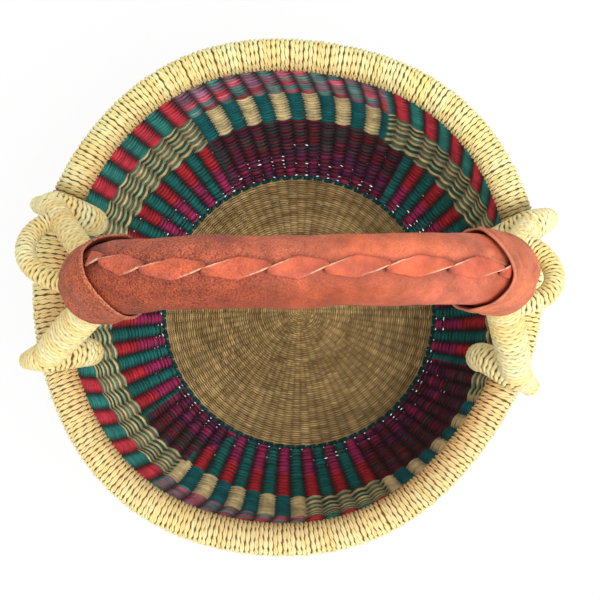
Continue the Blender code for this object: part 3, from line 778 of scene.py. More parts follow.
def bundle(spine, closed=False, sides=20, sunk=0.0017):
    """The roll of grass under a winding: the spine's own oval, sunk a strand's thickness, in a darker colour."""
    centre, first, second, across, deep, along = spine
    turn = 2 * np.pi * np.arange(sides)[None, :, None] / sides
    a, b = (np.maximum(part - sunk, 2e-4)[:, None, None] for part in (across, deep))
    points = centre[:, None] + first[:, None] * a * np.cos(turn) + second[:, None] * b * np.sin(turn)
    # Partly painted shade: the bundle's husk colour is darkened for the gaps between the turns, where it shows
    return points[None], painted(np.broadcast_to(0.9 * HUSK, points.shape))[None], along, closed


# %% Whip the rim
RIM_PARTS = 3
RIM_PITCH = 0.0034
RIM_STRAND = 0.0010
DARK_COILS = ((156.5, 2.2), (340.5, 2.4), (19.0, 1.8))


def rim_spine(low, high):
    """The rim's middle from one angle to another, with outward and up as the section's two directions."""
    angle = np.linspace(low, high, 400)
    centre = body_place(angle, RIM_RADIUS, RIM_HEIGHT + 0 * angle)
    run = unit(body_place(angle + 0.001, RIM_RADIUS, RIM_HEIGHT + 0 * angle) - centre)
    out = unit(np.cross(run, np.array([0, 0, 1.0])))
    along = lengths_along(centre)
    return centre, out, np.cross(out, run), RIM_HALF_WIDTH + 0 * along, RIM_HALF_HEIGHT + 0 * along, along


def rim_tint_and_shade(colour, path):
    """Peach towards the inner side and amber low on it, most at the front; browner coils beside the feet."""
    out_x, out_y = path[:, 0] - RIM_X, path[:, 1] - RIM_Y
    inner = np.clip((RIM_RADIUS - np.hypot(out_x, out_y)) / RIM_HALF_WIDTH, -1, 1)
    turn = np.degrees(np.arctan2(out_y, out_x)) % 360
    front = np.clip(0.4 - 0.6 * np.sin(np.radians(turn)), 0, 1)
    brown = sum(0.6 * np.exp(-(((turn - place + 180) % 360 - 180) / width) ** 2) for place, width in DARK_COILS)
    # Painted shade: the peach falls to two thirds of its colour towards the front of the rim, and its share towards the
    # inner side is partly the straw's colour and partly painted shade
    colour = mix(colour, PEACH * mix(1.0, 0.66, front)[:, None], np.clip(0.22 + 0.45 * front + 0.45 * inner, 0, 1))
    colour = np.minimum(colour * 1.10, 1.0)
    # Partly painted shade: amber on the inner side of the rim, strongest innermost
    return mix(mix(colour, AMBER, 0.40 * np.maximum(inner, 0) ** 3), HUSK, brown)


for part in range(RIM_PARTS):
    low, high = 2 * np.pi * part / RIM_PARTS, 2 * np.pi * (part + 1) / RIM_PARTS
    spine = rim_spine(low, high + math.radians(0.4))
    rope = [wind(spine, 60 + part, RIM_PITCH, RIM_STRAND, 0.0012, rim_tint_and_shade, ply) for ply in (0, 1)]
    make_piece(f"rim_winding_{part + 1}", rope, straw_finish, ("rim_whipping",))
hoop = tuple(part[:-1] for part in rim_spine(0, 2 * np.pi))
make_piece("rim_bundle", [bundle(hoop, closed=True)], straw_finish, ("rim_grass_hoop",))

# %% [markdown]
# ## The handle's arch
#
# The handle is one thick bundle of grass bent into an arch. Its line is a squarish half oval, so x is the half
# span times sin(t) to the power 2/2.8 and z the rise times cos(t) to the same power. All of the handle's pieces
# take their places from a length along it, measured from the top.

# %% Places along the arch
ARCH_HALF_SPAN = RIM_RADIUS - 0.0518
ARCH_SPRING_Z = RIM_HEIGHT + 0.0520
ARCH_RISE = 0.1300
ARCH_POWER = 2.8
ARCH_DRIFT = 0.0060
SLEEVE_RADIUS, SLEEVE_FLARE, SLEEVE_END = 0.0205, 0.0025, 0.1450
LEATHER = 0.0020
CORE_END = 0.1500
arch_turn = np.linspace(0, np.pi / 2, 801)
arch_x = ARCH_HALF_SPAN * np.sin(arch_turn) ** (2 / ARCH_POWER)
arch_z = ARCH_SPRING_Z + ARCH_RISE * np.cos(arch_turn) ** (2 / ARCH_POWER)
arch_s = np.concatenate([[0], np.cumsum(np.hypot(np.diff(arch_x), np.diff(arch_z)))])


def arch_place(length):
    """The arch's middle at signed lengths from the top; it drifts to +Y with the cube of the way along X."""
    reach = np.sign(length) * np.interp(np.abs(length), arch_s, arch_x)
    y = BODY_Y + ARCH_DRIFT * ((reach / ARCH_HALF_SPAN + 1) / 2) ** 3
    return np.stack([BODY_X + reach, y, np.interp(np.abs(length), arch_s, arch_z)], -1)


def arch_frame(length):
    """Middle, direction towards +X, and outward direction."""
    run = unit(arch_place(length + 0.0015) - arch_place(length - 0.0015))
    return arch_place(length), run, np.cross(run, np.array([0, 1.0, 0]))


def sleeve_radius(length):
    """The sleeve swells a little towards the hoods."""
    return SLEEVE_RADIUS + SLEEVE_FLARE * (length / SLEEVE_END) ** 2


print("arch is", round(2 * arch_s[-1], 3), "m long")

# %% [markdown]
# ## Feet, legs and ears
#
# Under each hood the bundle parts into two legs. Each ends in a saddle, a thick wound roll bent over the rim with
# a knob inside and one outside. A slimmer wound loop, the ear, stands out beside each hood. Their middles are
# cubic curves: a share t of the way is a(1-t)^3 + 3b(1-t)^2 t + 3c(1-t) t^2 + d t^3.

# %% Middles of the limbs
FEET = {
    "left_upper": (-1, 161, 4, 52, 0.0090),
    "left_lower": (-1, 196.3, -8, 30, 0.0122),
    "right_upper": (1, 14, 10, -10, 0.0090),
    "right_lower": (1, -21, -12, 46, 0.0122),
}
EARS = {
    "left": (0.74, 0.50, 0.0260, 0.0620, 0.0020),
    "right": (0.56, 1.00, 0.0200, 0.0580, 0.0050),
}
EAR_RADIUS = 0.0070
LEG_TOP = (sleeve_radius(CORE_END) - LEATHER - CLEAR) / 2 - CLEAR
SADDLE_OUTER, SADDLE_TOP, SADDLE_INNER = 0.0071, 0.0122, 0.0104


def curve(a, b, c, d, share):
    """A cubic curve that leaves a towards b and arrives at d from c."""
    t = np.asarray(share)[..., None]
    return a * (1 - t) ** 3 + 3 * b * (1 - t) ** 2 * t + 3 * c * (1 - t) * t ** 2 + d * t ** 3


def saddle_line(foot, turn):
    """Middle and radius of a saddle at turns round the rim roll, from outside, over the top, to inside."""
    side, angle, twist, outer, _ = FEET[foot]
    middle = body_place(math.radians(angle), RIM_RADIUS, RIM_HEIGHT)
    heading_way = math.radians(angle + twist)
    outward = np.array([math.cos(heading_way), math.sin(heading_way), 0])
    outer, inner = math.radians(outer), math.radians(203)
    over = np.clip((np.pi / 2 - turn) / (np.pi / 2 - outer), 0, 1)
    under = np.clip((turn - np.pi / 2) / (inner - np.pi / 2), 0, 1)
    radius = SADDLE_TOP + (SADDLE_OUTER - SADDLE_TOP) * np.sin(over * np.pi / 2)
    radius = radius + (SADDLE_INNER - SADDLE_TOP) * np.sin(under * np.pi / 2)
    off = radius + 0.0011
    across = (RIM_HALF_WIDTH / math.cos(math.radians(twist)) + off) * np.cos(turn)
    rise = (RIM_HALF_HEIGHT + off) * np.sin(turn)
    return middle + outward * across[..., None] + np.array([0, 0, 1.0]) * rise[..., None], radius, outward


def leg_line(foot, share):
    """Middle of a leg: out of the core's end, bowed outwards, down into the top of its saddle."""
    side, angle = FEET[foot][:2]
    end, run, _ = arch_frame(side * CORE_END)
    down = run * side
    start = end + down * CLEAR + np.array([0, math.copysign(LEG_TOP + CLEAR, math.sin(math.radians(angle))), 0])
    landing = saddle_line(foot, np.array([np.pi / 2]))[0][0]
    flat = unit((landing - start) * [1, 1, 0])
    arrive = unit(flat * 0.45 - np.array([0, 0, 1.0]))
    return curve(start, start + down * 0.0420, landing - arrive * 0.0260, landing, share)


def leg_radius(foot, share):
    """From half of the core, through the leg's own thickness, to the saddle's shoulder."""
    own = FEET[foot][4]
    high = LEG_TOP + (own - LEG_TOP) * np.sin(np.minimum(share, 0.5) * np.pi)
    low = own + (SADDLE_TOP - 0.0024 - own) * np.maximum(2 * share - 1, 0) ** 2
    return np.where(share < 0.5, high, low)


def ear_line(side, share):
    """Middle of an ear: from the upper leg, out past the rim and back in under the hood."""
    start_share, across, start_reach, end_reach, drift = EARS[side]
    out = np.array([-1.0 if side == "left" else 1.0, 0, 0])
    start = leg_line(side + "_upper", start_share)
    high, low = leg_line(side + "_upper", 0.29), leg_line(side + "_lower", 0.29)
    end = high + (low - high) * across
    gate = end + out * end_reach + np.array([0, drift, 0])
    return curve(start, start + out * start_reach, gate, end, share)


# %% Wind the limbs
SADDLE_PITCH, LEG_PITCH, EAR_PITCH = 0.0030, 0.0041, 0.0031
LIMB_ROUNDNESS = 0.42


def spine_along(path, radius, level, domes=False):
    """A spine round a path: its section's first direction is square to level, and its ends may be domed."""
    if domes:
        run = heading(path, False)
        turn = np.linspace(0, np.pi / 2, 9)[1:, None] * 0.995
        start = path[0] - run[0] * radius[0] * np.sin(turn)
        end = path[-1] + run[-1] * radius[-1] * np.sin(turn)
        path = np.vstack([start[::-1], path, end])
        radius = np.concatenate([(radius[0] * np.cos(turn[:, 0]))[::-1], radius, radius[-1] * np.cos(turn[:, 0])])
    run = heading(path, False)
    first = unit(np.cross(run, level))
    along = np.concatenate([[0], np.cumsum(np.hypot(np.linalg.norm(np.diff(path, axis=0), axis=1), np.diff(radius)))])
    return path, first, np.cross(first, run), radius, radius, along


def limb(name, spine, seed, pitch):
    """One wound limb: its winding and the bundle inside it."""
    wound = wind(spine, seed, pitch, LIMB_ROUNDNESS * pitch)
    make_piece(name + "_winding", [wound, bundle(spine)], straw_finish, (name,))


shares = np.linspace(0, 1, 90)
for number, foot in enumerate(FEET):
    outward = saddle_line(foot, np.array([0.0]))[2]
    turns = np.linspace(math.radians(FEET[foot][3]), math.radians(203), 60)
    path, radius, _ = saddle_line(foot, turns)
    limb("saddle_" + foot, spine_along(path, radius, np.cross(outward, [0, 0, 1.0]), domes=True), 110 + number,
         SADDLE_PITCH)
    path = leg_line(foot, shares)
    limb("leg_" + foot, spine_along(path, leg_radius(foot, shares), np.array([0, 1.0, 0])), 120 + number, LEG_PITCH)
for number, side in enumerate(EARS):
    path = ear_line(side, shares)
    limb("ear_loop_" + side, spine_along(path, EAR_RADIUS + 0 * shares, np.array([0, 0, 1.0])), 130 + number, EAR_PITCH)

# %% The grass core inside the sleeve
core_length = np.linspace(-CORE_END, CORE_END, 120)
core_middle, core_run, core_out = arch_frame(core_length)
core_radius = sleeve_radius(core_length) - LEATHER - CLEAR
core = (core_middle, np.cross(core_out, core_run), core_out, core_radius, core_radius, lengths_along(core_middle))
make_piece("handle_bundle", [bundle(core, sides=24, sunk=0.0)], straw_finish, ("handle_grass_core",))

# %% [markdown]
# ## Leather
#
# Vegetable-tanned goatskin is pebbled where the grain side was left as it grew and smooth where it was buffed,
# and it darkens where hands and damp have been. The grain is a group of two textures on Object coordinates: cells
# for the pebbles and noise for the pores, strong to the left and faint to the right as on this handle. Cut edges
# are pale and are painted on the mesh.

# %% Leather finish
CLAY, GLOW, STAIN_AND_SHADE, RAW = dye(170, 84, 60), dye(205, 109, 80), dye(104, 48, 38), dye(232, 190, 156)
EMBER, CUT_EDGE, LACE_RED = dye(208, 98, 56), dye(204, 140, 112), dye(198, 98, 74)


def leather_grain_group():
    """Pebbles and pores: cell distance and noise mixed, with a strength that fades along Object X."""
    tree, given, out = new_group(
        "leather_grain",
        [("Colour", "Color", None), ("Contrast", "Float", 0.8), ("Scale", "Float", 1050.0)],
        [("Colour", "Color"), ("Height", "Float")],
    )
    place = node(tree, "ShaderNodeTexCoord")
    apart = node(tree, "ShaderNodeSeparateXYZ")
    fade = node(tree, "ShaderNodeMapRange")
    for socket, value in (("From Min", -0.060), ("From Max", 0.030), ("To Min", 1.0), ("To Max", 0.25)):
        fade.inputs[socket].default_value = value
    cells = node(tree, "ShaderNodeTexVoronoi", feature="SMOOTH_F1")
    pores = node(tree, "ShaderNodeTexNoise", Detail=4.0, Roughness=0.7)
    both = node(tree, "ShaderNodeMath", operation="ADD")
    centred = node(tree, "ShaderNodeMath", operation="SUBTRACT")
    centred.inputs[1].default_value = 0.90
    strong = node(tree, "ShaderNodeMath", operation="MULTIPLY")
    tone = node(tree, "ShaderNodeMath", operation="MULTIPLY")
    lift = node(tree, "ShaderNodeMath", operation="SUBTRACT")
    lift.inputs[0].default_value = 1.0
    shaded = node(tree, "ShaderNodeVectorMath", operation="SCALE")
    link = tree.links.new
    link(place.outputs["Object"], apart.inputs["Vector"])
    link(apart.outputs["X"], fade.inputs["Value"])
    link(place.outputs["Object"], cells.inputs["Vector"])
    link(place.outputs["Object"], pores.inputs["Vector"])
    link(given.outputs["Scale"], cells.inputs["Scale"])
    link(given.outputs["Scale"], pores.inputs["Scale"])
    link(cells.outputs["Distance"], both.inputs[0])
    link(pores.outputs["Fac"], both.inputs[1])
    link(both.outputs["Value"], centred.inputs[0])
    link(centred.outputs["Value"], strong.inputs[0])
    link(fade.outputs["Result"], strong.inputs[1])
    link(strong.outputs["Value"], tone.inputs[0])
    link(given.outputs["Contrast"], tone.inputs[1])
    link(tone.outputs["Value"], lift.inputs[1])
    link(given.outputs["Colour"], shaded.inputs["Vector"])
    link(lift.outputs["Value"], shaded.inputs["Scale"])
    link(shaded.outputs["Vector"], out.inputs["Colour"])
    link(strong.outputs["Value"], out.inputs["Height"])
    return tree


LEATHER_GRAIN = leather_grain_group()


def leather_material(name, contrast, relief, rough):
    """Painted hide, patched and grained, with a soft gloss that follows the patches."""
    mat = bpy.data.materials.new(name)
    mat.use_nodes = True
    tree = mat.node_tree
    shader = tree.nodes["Principled BSDF"]
    paint = node(tree, "ShaderNodeAttribute", attribute_name="dye")
    patch = use_group(tree, PATCHY_DYE, Low=0.68, High=1.26, Scale=70.0)
    grain = use_group(tree, LEATHER_GRAIN, Contrast=contrast)
    bump = node(tree, "ShaderNodeBump", invert=True, Strength=0.5, Distance=relief)
    gloss = node(tree, "ShaderNodeMapRange")
    gloss.inputs["To Min"].default_value = rough - 0.10
    gloss.inputs["To Max"].default_value = rough + 0.15
    link = tree.links.new
    link(paint.outputs["Color"], patch.inputs["Colour"])
    link(patch.outputs["Colour"], grain.inputs["Colour"])
    link(grain.outputs["Colour"], shader.inputs["Base Color"])
    link(grain.outputs["Height"], bump.inputs["Height"])
    link(bump.outputs["Normal"], shader.inputs["Normal"])
    link(patch.outputs["Patch"], gloss.inputs["Value"])
    link(gloss.outputs["Result"], shader.inputs["Roughness"])
    shader.inputs["Specular IOR Level"].default_value = 0.35
    return mat


sleeve_finish = leather_material("pebbled_leather", 1.7, 0.0008, 0.60)
lace_finish = leather_material("lace_leather", 0.8, 0.0005, 0.58)

# %% [markdown]
# ## The sleeve
#
# The sleeve is one sheet wrapped round the bundle with its edges meeting along the top. It is a closed shell: the
# outer side runs from one end to the other and the inner side runs back, and both go all the way round. Its
# outer radius is the sleeve's own plus soft lumps, puckers that gather towards the seam, and the seam's groove.
# The seam gapes to one side, where a pale cut edge shows. Columns crowd towards the seam, where the detail is:
# even steps, less a sine, give small steps there and long ones underneath.

# %% Wrap the sleeve
SEAM_TURNS = ((-0.145, 27), (-0.110, 25), (-0.098, 18), (-0.078, 2), (-0.050, -1), (0.0, -1), (0.045, -1),
              (0.075, -2), (0.105, -4), (0.145, -6))
SEAM_LAP = 0.0014
SEAM_OPENINGS = ((-0.034, 0.008, 0.0024), (0.100, 0.010, 0.0032))
# Painted shade on the sleeve's near side and painted light on its far side, as colour multipliers
NEAR_SHADE_TONE, FAR_LIGHT_TONE = np.array([0.86, 0.74, 0.56]), np.array([1.14, 1.22, 1.20])
HOOD_TONE = np.array([1.06, 1.18, 1.06])
CROWDING = 0.6


def seam_turn(length):
    """How far the seam leans to +Y at a length: a few turns read off the photograph, averaged over 24 mm."""
    places, turns = np.array(SEAM_TURNS).T
    return np.radians(sum(np.interp(length + off, places, turns) for off in np.linspace(-0.012, 0.012, 9)) / 9)


def seam_gap(length):
    """How far the seam gapes: hardly, but for a bell curve at each place where it has come open."""
    return sum(gap * np.exp(-((length - place) / half) ** 2) for place, half, gap in SEAM_OPENINGS)


def hide_colour(x, y, seed):
    """Hide with stains and orange patches by place: stains gather to the left, glow to the right."""
    left = np.clip((0.08 - x) / 0.16, 0, 1)
    tone = 0.5 + 0.5 * dapple(x * 32, y * 32, seed)
    colour = mix(GLOW, CLAY, np.clip(0.25 + 0.9 * left + 0.5 * (tone - 0.5), 0, 1))
    spots = np.clip(dapple(x * 55 + 9, y * 55, seed + 1) * 1.5 - 0.35, 0, 1)
    colour = mix(colour, STAIN_AND_SHADE, spots * (0.22 + 0.60 * left))
    warm = np.clip(dapple(x * 26 + 3, y * 40, seed + 2) * 1.4 - 0.3, 0, 1)
    return mix(colour, EMBER, 0.6 * warm)


def sleeve_family():
    """Rows run out along the outer side and back along the inner; columns start and end at the seam."""
    columns = 120
    outer = np.linspace(-SLEEVE_END, SLEEVE_END, 380)
    inner = np.linspace(SLEEVE_END, -SLEEVE_END, 40)
    length = np.concatenate([outer, inner])[:, None]
    is_outer = (np.arange(len(length)) < len(outer))[:, None]
    even = (np.arange(columns) + 0.5)[None, :] / columns
    turn = 2 * np.pi * even - CROWDING * np.sin(2 * np.pi * even)
    radius = sleeve_radius(length)
    signed = (np.pi - np.abs(turn - np.pi)) * np.sign(turn - np.pi) * radius
    off_seam = np.abs(signed)
    lumps = 0.0009 * dapple(length * 38, turn * 1.3, 141) + 0.0004 * dapple(length * 110, turn * 3.1, 142)
    pucker = 0.0006 * dapple(length * 210, turn * 2.2, 143) * np.exp(-(off_seam / 0.012) ** 2)
    lap = SEAM_LAP + seam_gap(length) + 0.0004 * waver(length / 0.018, 144)
    groove = 0.0015 * np.clip((lap - np.abs(signed - lap / 2) * 2) / 0.0016, 0, 1)
    swell = 0.0006 * np.exp(-((off_seam - 0.0100) / 0.0040) ** 2)
    reach = np.where(is_outer, radius - 0.0004 + lumps + pucker - groove + swell, radius - LEATHER)
    middle, run, out = arch_frame(length)
    side = np.cross(out, run)
    lean = np.pi / 2 + turn - seam_turn(length)
    c, s = np.cos(lean)[..., None], np.sin(lean)[..., None]
    points = middle + (side * c + out * s) * reach[..., None]
    colour = hide_colour(points[..., 0], points[..., 1] + 0.3 * points[..., 2], 150)
    # Painted shade on the near side of the seam, fading out towards the right end, and painted light on the far side
    near = np.clip(-signed / 0.014, 0, 1) * np.clip((0.075 - length) / 0.05, 0, 1)
    far = np.clip(signed / 0.014, 0, 1)
    colour = mix(mix(colour, colour * NEAR_SHADE_TONE, near), colour * FAR_LIGHT_TONE, far)
    # Painted shade: the seam's groove under the lap is darkened towards the stain colour
    colour = mix(colour, STAIN_AND_SHADE, 0.75 * np.clip((lap - np.abs(signed - lap / 2) * 2) / 0.0012, 0, 1))
    raw = 0.15 + 0.75 * np.clip(seam_gap(length) / 0.0020, 0, 1)
    colour = mix(colour, RAW, raw * np.exp(-((signed - lap) / 0.0006) ** 2))
    return points[None], painted(colour)[None], length[:, 0], True


make_piece("leather_wrap", [sleeve_family()], sleeve_finish, ("leather_sleeve",))

# %% [markdown]
# ## The lace
#
# A flat strip of leather is laid along the seam and turned over every three centimetres, so its two faces show
# one after another as leaves. At each neck one edge crosses slowly in front, pale where it was cut, and the
# other slips back under it. So each edge is a curve of its own, and the strip is the straight lines between
# them, with the thickness of leather added: a twist by formula would be too slim at its necks.

# %% Turn the lace over
LACE_HALF_WIDTH, LACE_HALF_THICK, LACE_LIFT = 0.0066, 0.0009, 0.0024
LACE_NECKS = np.array([-0.1320, -0.1000, -0.0765, -0.0465, -0.0145, 0.0145, 0.0445, 0.0745, 0.1035, 0.1330])
LACE_END = 0.1120


def front_edge(v):
    """Where the front edge is v of the way from a neck to the next: no step along, 2v across, lifted at v = 0."""
    return 0 * v, 2 * v * (1.1 - 0.1 * np.abs(2 * v)), LACE_LIFT * np.exp(-(v / 0.22) ** 2)


def back_edge(v):
    """The back edge: full across at v = +-0.5, half at the neck, and there it slips back by a tanh."""
    slip = np.tanh(v / 0.035)
    return -0.12 * slip * (1 - np.abs(2 * v)), -slip * (0.46 + 0.54 * np.abs(2 * v)), 0 * v


def lace_family():
    """Rows run along the strip; columns go round it, from one edge over the upper face to the other."""
    count = len(LACE_NECKS)
    at = np.linspace(0, count - 1, 1200)
    at = at[np.abs(np.interp(at, np.arange(count), LACE_NECKS)) < LACE_END]
    neck = np.round(at).astype(int)
    front, back = front_edge(at - neck), back_edge(at - neck)
    even = neck % 2 == 0
    edges = []
    for one, other in ((front, back), (back, front)):
        step, across, lift = (np.where(even, a, b) for a, b in zip(one, other))
        length = np.interp(at + step, np.arange(count), LACE_NECKS)
        middle, run, out = arch_frame(length)
        lean = seam_turn(length)
        turn = across * LACE_HALF_WIDTH / (sleeve_radius(length) * 1.1) + lean
        side = np.cross(out, run)
        away = out * np.cos(turn)[:, None] + side * np.sin(turn)[:, None]
        rise = sleeve_radius(length) + CLEAR + 1.3 * LACE_HALF_THICK + lift
        edges.append(middle + away * rise[:, None])
    one, other = edges
    centre, half = (one + other) / 2, (other - one) / 2
    over = unit(np.cross(half, heading(centre, False)))
    turn = 2 * np.pi * np.arange(20) / 20
    flat = np.sign(np.cos(turn)) * np.abs(np.cos(turn)) ** 0.5
    deep = np.sign(np.sin(turn)) * np.abs(np.sin(turn)) ** 0.7 * LACE_HALF_THICK
    rough = 1 + 0.05 * waver(at[:, None] / 0.06 + turn, 163)
    points = centre[:, None] + half[:, None] * (flat * rough)[..., None] + over[:, None] * deep[:, None]
    v = (at - neck)[:, None]
    in_front = np.where(even[:, None], flat < 0, flat > 0)
    edge = np.clip((np.abs(flat) - 0.80) / 0.15, 0, 1) * in_front * np.clip(1.5 - np.abs(3.4 * v), 0, 1)
    tone = 0.5 + 0.5 * dapple(at[:, None] * 2.1, flat * 1.4, 164)
    colour = mix(mix(LACE_RED, EMBER, 0.75 * tone), RAW, edge)
    # Painted shade: where the strip tucks under at a neck, its hidden face is darkened
    hidden_shade = np.where(even[:, None], flat > 0.2, flat < -0.2) * np.exp(-(v / 0.10) ** 2)
    colour = mix(colour, STAIN_AND_SHADE, 0.8 * hidden_shade)
    return points[None], painted(colour)[None], np.interp(at, np.arange(count), LACE_NECKS), False


make_piece("twisted_lace", [lace_family()], lace_finish, ("seam_lace",))

# %% [markdown]
# ## The hoods
#
# A second piece of leather is drawn over each fork like a hood. Its mouth stands a little off the sleeve with a
# cut edge turned outwards, and further down it flattens over the two legs. Its rings are first worked out at a
# few stations, then joined smoothly, so that it flows from round to flat.

# %% Draw the hoods
def on_knots(knots, at):
    """Rows between knots on Catmull-Rom curves: each stretch leaves a knot along the line of its neighbours."""
    last = len(knots) - 1
    k = np.clip(at.astype(int), 0, last - 1)
    t = (at - k)[..., None]
    p0, p1, p2, p3 = (knots[np.clip(k + step, 0, last)] for step in (-1, 0, 1, 2))
    return 0.5 * (2 * p1 + (p2 - p0) * t + (2 * p0 - 5 * p1 + 4 * p2 - p3) * t ** 2
                  + (3 * p1 - p0 - 3 * p2 + p3) * t ** 3)


HOOD_STATIONS = np.linspace(0.0800, CORE_END, 8)
LEG_SHARES = (1 / 11, 2 / 11)
HOOD_END_HIGH, HOOD_END_LOW = 8.4, 7.0
MOUTHS = {
    "left": ((0, 0.1080, 18), (15, 0.1170, 24), (48, 0.1180, 28), (68, 0.1130, 30), (85, 0.1095, 32),
             (105, 0.1050, 22), (128, 0.1015, 12), (152, 0.1005, 7), (178, 0.1030, 4), (270, 0.1150, 8),
             (360, 0.1080, 18)),
    "right": ((0, 0.1090, 8), (35, 0.1020, 16), (53, 0.1030, 24), (70, 0.1050, 26), (85, 0.1080, 28),
              (95, 0.1100, 34), (108, 0.1100, 44), (120, 0.1075, 44), (135, 0.1060, 34), (150, 0.1050, 18),
              (162, 0.1020, 7), (178, 0.1040, 3), (270, 0.1130, 6), (360, 0.1090, 8)),
}


def hood_knots(side):
    """Middle, across, depth, half spread and bore at stations over the sleeve, then over the two legs."""
    name = "left" if side < 0 else "right"
    middle, run, out = arch_frame(side * HOOD_STATIONS)
    bore = sleeve_radius(HOOD_STATIONS) + CLEAR
    rows = [np.concatenate([spot, [0, 1.0, 0], way, [0.0, size, size]]) for spot, way, size in zip(middle, out, bore)]
    for share in LEG_SHARES:
        legs = [name + "_upper", name + "_lower"]
        high, low = (leg_line(leg, share) for leg in legs)
        ways = [unit(leg_line(leg, share + 0.09) - leg_line(leg, share - 0.09)) for leg in legs]
        way = unit(ways[0] + ways[1])
        wide = high - low
        wide = unit(wide - way * np.dot(wide, way))
        deep = unit(np.cross(way, wide)) * side
        splay = min(float(np.dot(way, each)) for each in ways)
        radius = max(float(leg_radius(leg, share)) for leg in legs) / splay + 0.0008
        rows.append(np.concatenate([(high + low) / 2, wide, deep, [np.linalg.norm(high - low) / 2, radius, radius]]))
    return np.array(rows)


def hood_family(side, seed):
    """Rows run out over the hood's outer side and back under it; the mouth's lip stands off the sleeve.

    Each column starts at the mouth's own length along the arch and ends further down the legs at the back than
    at the front, so a point's row gives its share of the way, and the knots are read at that place.
    """
    rows, columns = 110, 112
    knots = hood_knots(side)
    shares = np.linspace(0, 1, rows)
    share = np.concatenate([shares, shares[::-4]])[:, None]
    is_outer = (np.arange(len(share)) < rows)[:, None]
    turn = 2 * np.pi * np.arange(columns)[None, :] / columns
    c, s = np.cos(turn), np.sin(turn)
    degrees, lengths, stands = np.array(MOUTHS["left" if side < 0 else "right"]).T
    near = [(np.degrees(turn) + off) % 360 for off in np.linspace(-10, 10, 7)]
    mouth = sum(np.interp(way, degrees, lengths) for way in near) / len(near) + 0.0005 * waver(turn * 2.2, seed + 2)
    stand = sum(np.interp(way, degrees, stands) for way in near) / len(near) * 0.0001
    step = HOOD_STATIONS[1] - HOOD_STATIONS[0]
    first = (mouth - HOOD_STATIONS[0]) / step
    last = mix(HOOD_END_HIGH, HOOD_END_LOW, np.clip(0.5 - 1.2 * c, 0, 1))
    place = on_knots(knots, first + (last - first) * share)
    middle, across, deep = place[..., :3], unit(place[..., 3:6]), unit(place[..., 6:9])
    spread, wide, tall = (place[..., k] for k in (9, 10, 11))
    lip = stand * np.exp(-(share / 0.10) ** 2)
    thin = 0.0011 * np.exp(-(share / 0.035) ** 2)
    crease = 0.0009 * np.exp(-((share - 0.085) / 0.022) ** 2)
    folds = 0.0010 * dapple(share * 9, c * 2.5 + s, seed) * np.clip(share * 6, 0.3, 1)
    folds = folds + 0.0006 * dapple(share * 22, s * 4 + c, seed + 1)
    off = np.where(is_outer, LEATHER + 0.0002 + lip - thin - crease + folds, 0.0002 + lip)
    x = spread * np.tanh(3 * c) / math.tanh(3) + (wide + off) * c
    y = (tall + off) * s
    points = middle + across * x[..., None] + deep * y[..., None]
    colour = hide_colour(points[..., 0], points[..., 1] + 0.3 * points[..., 2], seed + 3) * HOOD_TONE
    edge = np.exp(-(share / 0.014) ** 2) + np.exp(-((share - 1) / 0.012) ** 2)
    colour = mix(colour, CUT_EDGE, 0.75 * edge + 0 * x)
    # Painted shade: a dark ring in the crease behind the mouth's lip
    colour = mix(colour, STAIN_AND_SHADE, 0.65 * np.exp(-((share - 0.080) / 0.018) ** 2) + 0 * x)
    return points[None], painted(colour)[None], lengths_along(middle[:, 0]), True


for side, name in ((-1, "left"), (1, "right")):
    make_piece("hood_" + name, [hood_family(side, 170 + 10 * side)], sleeve_finish,
               ("leather_hood_" + name,))

# %% Camera, floor and light
CAMERA_PLACE = (0.0069, -0.0558, 0.8490)
CAMERA_TILT = math.atan2(67, 911)
CAMERA_LENS = 54.66
camera_data = bpy.data.cameras.new("camera")
camera_data.lens = CAMERA_LENS
camera_data.sensor_width = 36
camera = bpy.data.objects.new("camera", camera_data)
camera.location = CAMERA_PLACE
camera.rotation_euler = (CAMERA_TILT, 0, 0)
bpy.context.collection.objects.link(camera)
bpy.context.scene.camera = camera


def seen_ray(tree):
    """One for what the camera sees straight on, in a reflection or through glass, else zero."""
    path = node(tree, "ShaderNodeLightPath")
    either = node(tree, "ShaderNodeMath", operation="MAXIMUM")
    any_ray = node(tree, "ShaderNodeMath", operation="MAXIMUM")
    tree.links.new(path.outputs["Is Camera Ray"], either.inputs[0])
    tree.links.new(path.outputs["Is Glossy Ray"], either.inputs[1])
    tree.links.new(either.outputs["Value"], any_ray.inputs[0])
    tree.links.new(path.outputs["Is Transmission Ray"], any_ray.inputs[1])
    return any_ray.outputs["Value"]


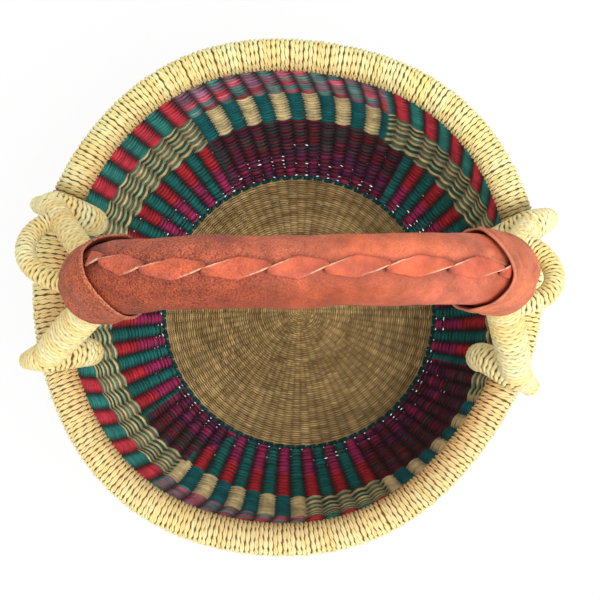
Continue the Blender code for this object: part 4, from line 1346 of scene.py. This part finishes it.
def stage_material():
    """A white ground: a pale matt surface, lifted to white for what the camera sees directly."""
    mat = bpy.data.materials.new("white_ground")
    mat.use_nodes = True
    tree = mat.node_tree
    shader = tree.nodes["Principled BSDF"]
    shader.inputs["Base Color"].default_value = (0.97, 0.97, 0.97, 1)
    shader.inputs["Roughness"].default_value = 0.9
    glow = node(tree, "ShaderNodeEmission", Strength=1.0)
    part = node(tree, "ShaderNodeMath", operation="MULTIPLY")
    part.inputs[1].default_value = 0.90
    blend = node(tree, "ShaderNodeMixShader")
    link = tree.links.new
    link(seen_ray(tree), part.inputs[0])
    link(part.outputs["Value"], blend.inputs["Fac"])
    link(shader.outputs["BSDF"], blend.inputs[1])
    link(glow.outputs["Emission"], blend.inputs[2])
    link(blend.outputs["Shader"], tree.nodes["Material Output"].inputs["Surface"])
    return mat


ground_mesh = bpy.data.meshes.new("ground")
ground_mesh.from_pydata([(-3, -3, -0.0006), (3, -3, -0.0006), (3, 3, -0.0006), (-3, 3, -0.0006)], [], [(0, 1, 2, 3)])
ground_mesh.materials.append(stage_material())
ground = bpy.data.objects.new("ground", ground_mesh)
bpy.context.collection.objects.link(ground)

world = bpy.data.worlds.new("studio")
bpy.context.scene.world = world
world.use_nodes = True
sky = world.node_tree.nodes["Background"]
sky.inputs["Color"].default_value = (1.0, 1.0, 1.0, 1)
sky.inputs["Strength"].default_value = 0.76
white = node(world.node_tree, "ShaderNodeBackground", Color=(1.0, 1.0, 1.0, 1), Strength=1.0)
either = node(world.node_tree, "ShaderNodeMixShader")
world.node_tree.links.new(seen_ray(world.node_tree), either.inputs["Fac"])
world.node_tree.links.new(sky.outputs["Background"], either.inputs[1])
world.node_tree.links.new(white.outputs["Background"], either.inputs[2])
world.node_tree.links.new(either.outputs["Shader"], world.node_tree.nodes["World Output"].inputs["Surface"])
lamp_data = bpy.data.lights.new("window", "AREA")
lamp_data.energy = 15.0
lamp_data.size = 1.0
lamp = bpy.data.objects.new("window", lamp_data)
lamp.location = (0.50, -0.40, 1.43)
lamp.rotation_euler = (math.radians(16), math.radians(20), 0)
bpy.context.collection.objects.link(lamp)
bpy.context.scene.view_settings.view_transform = "Standard"
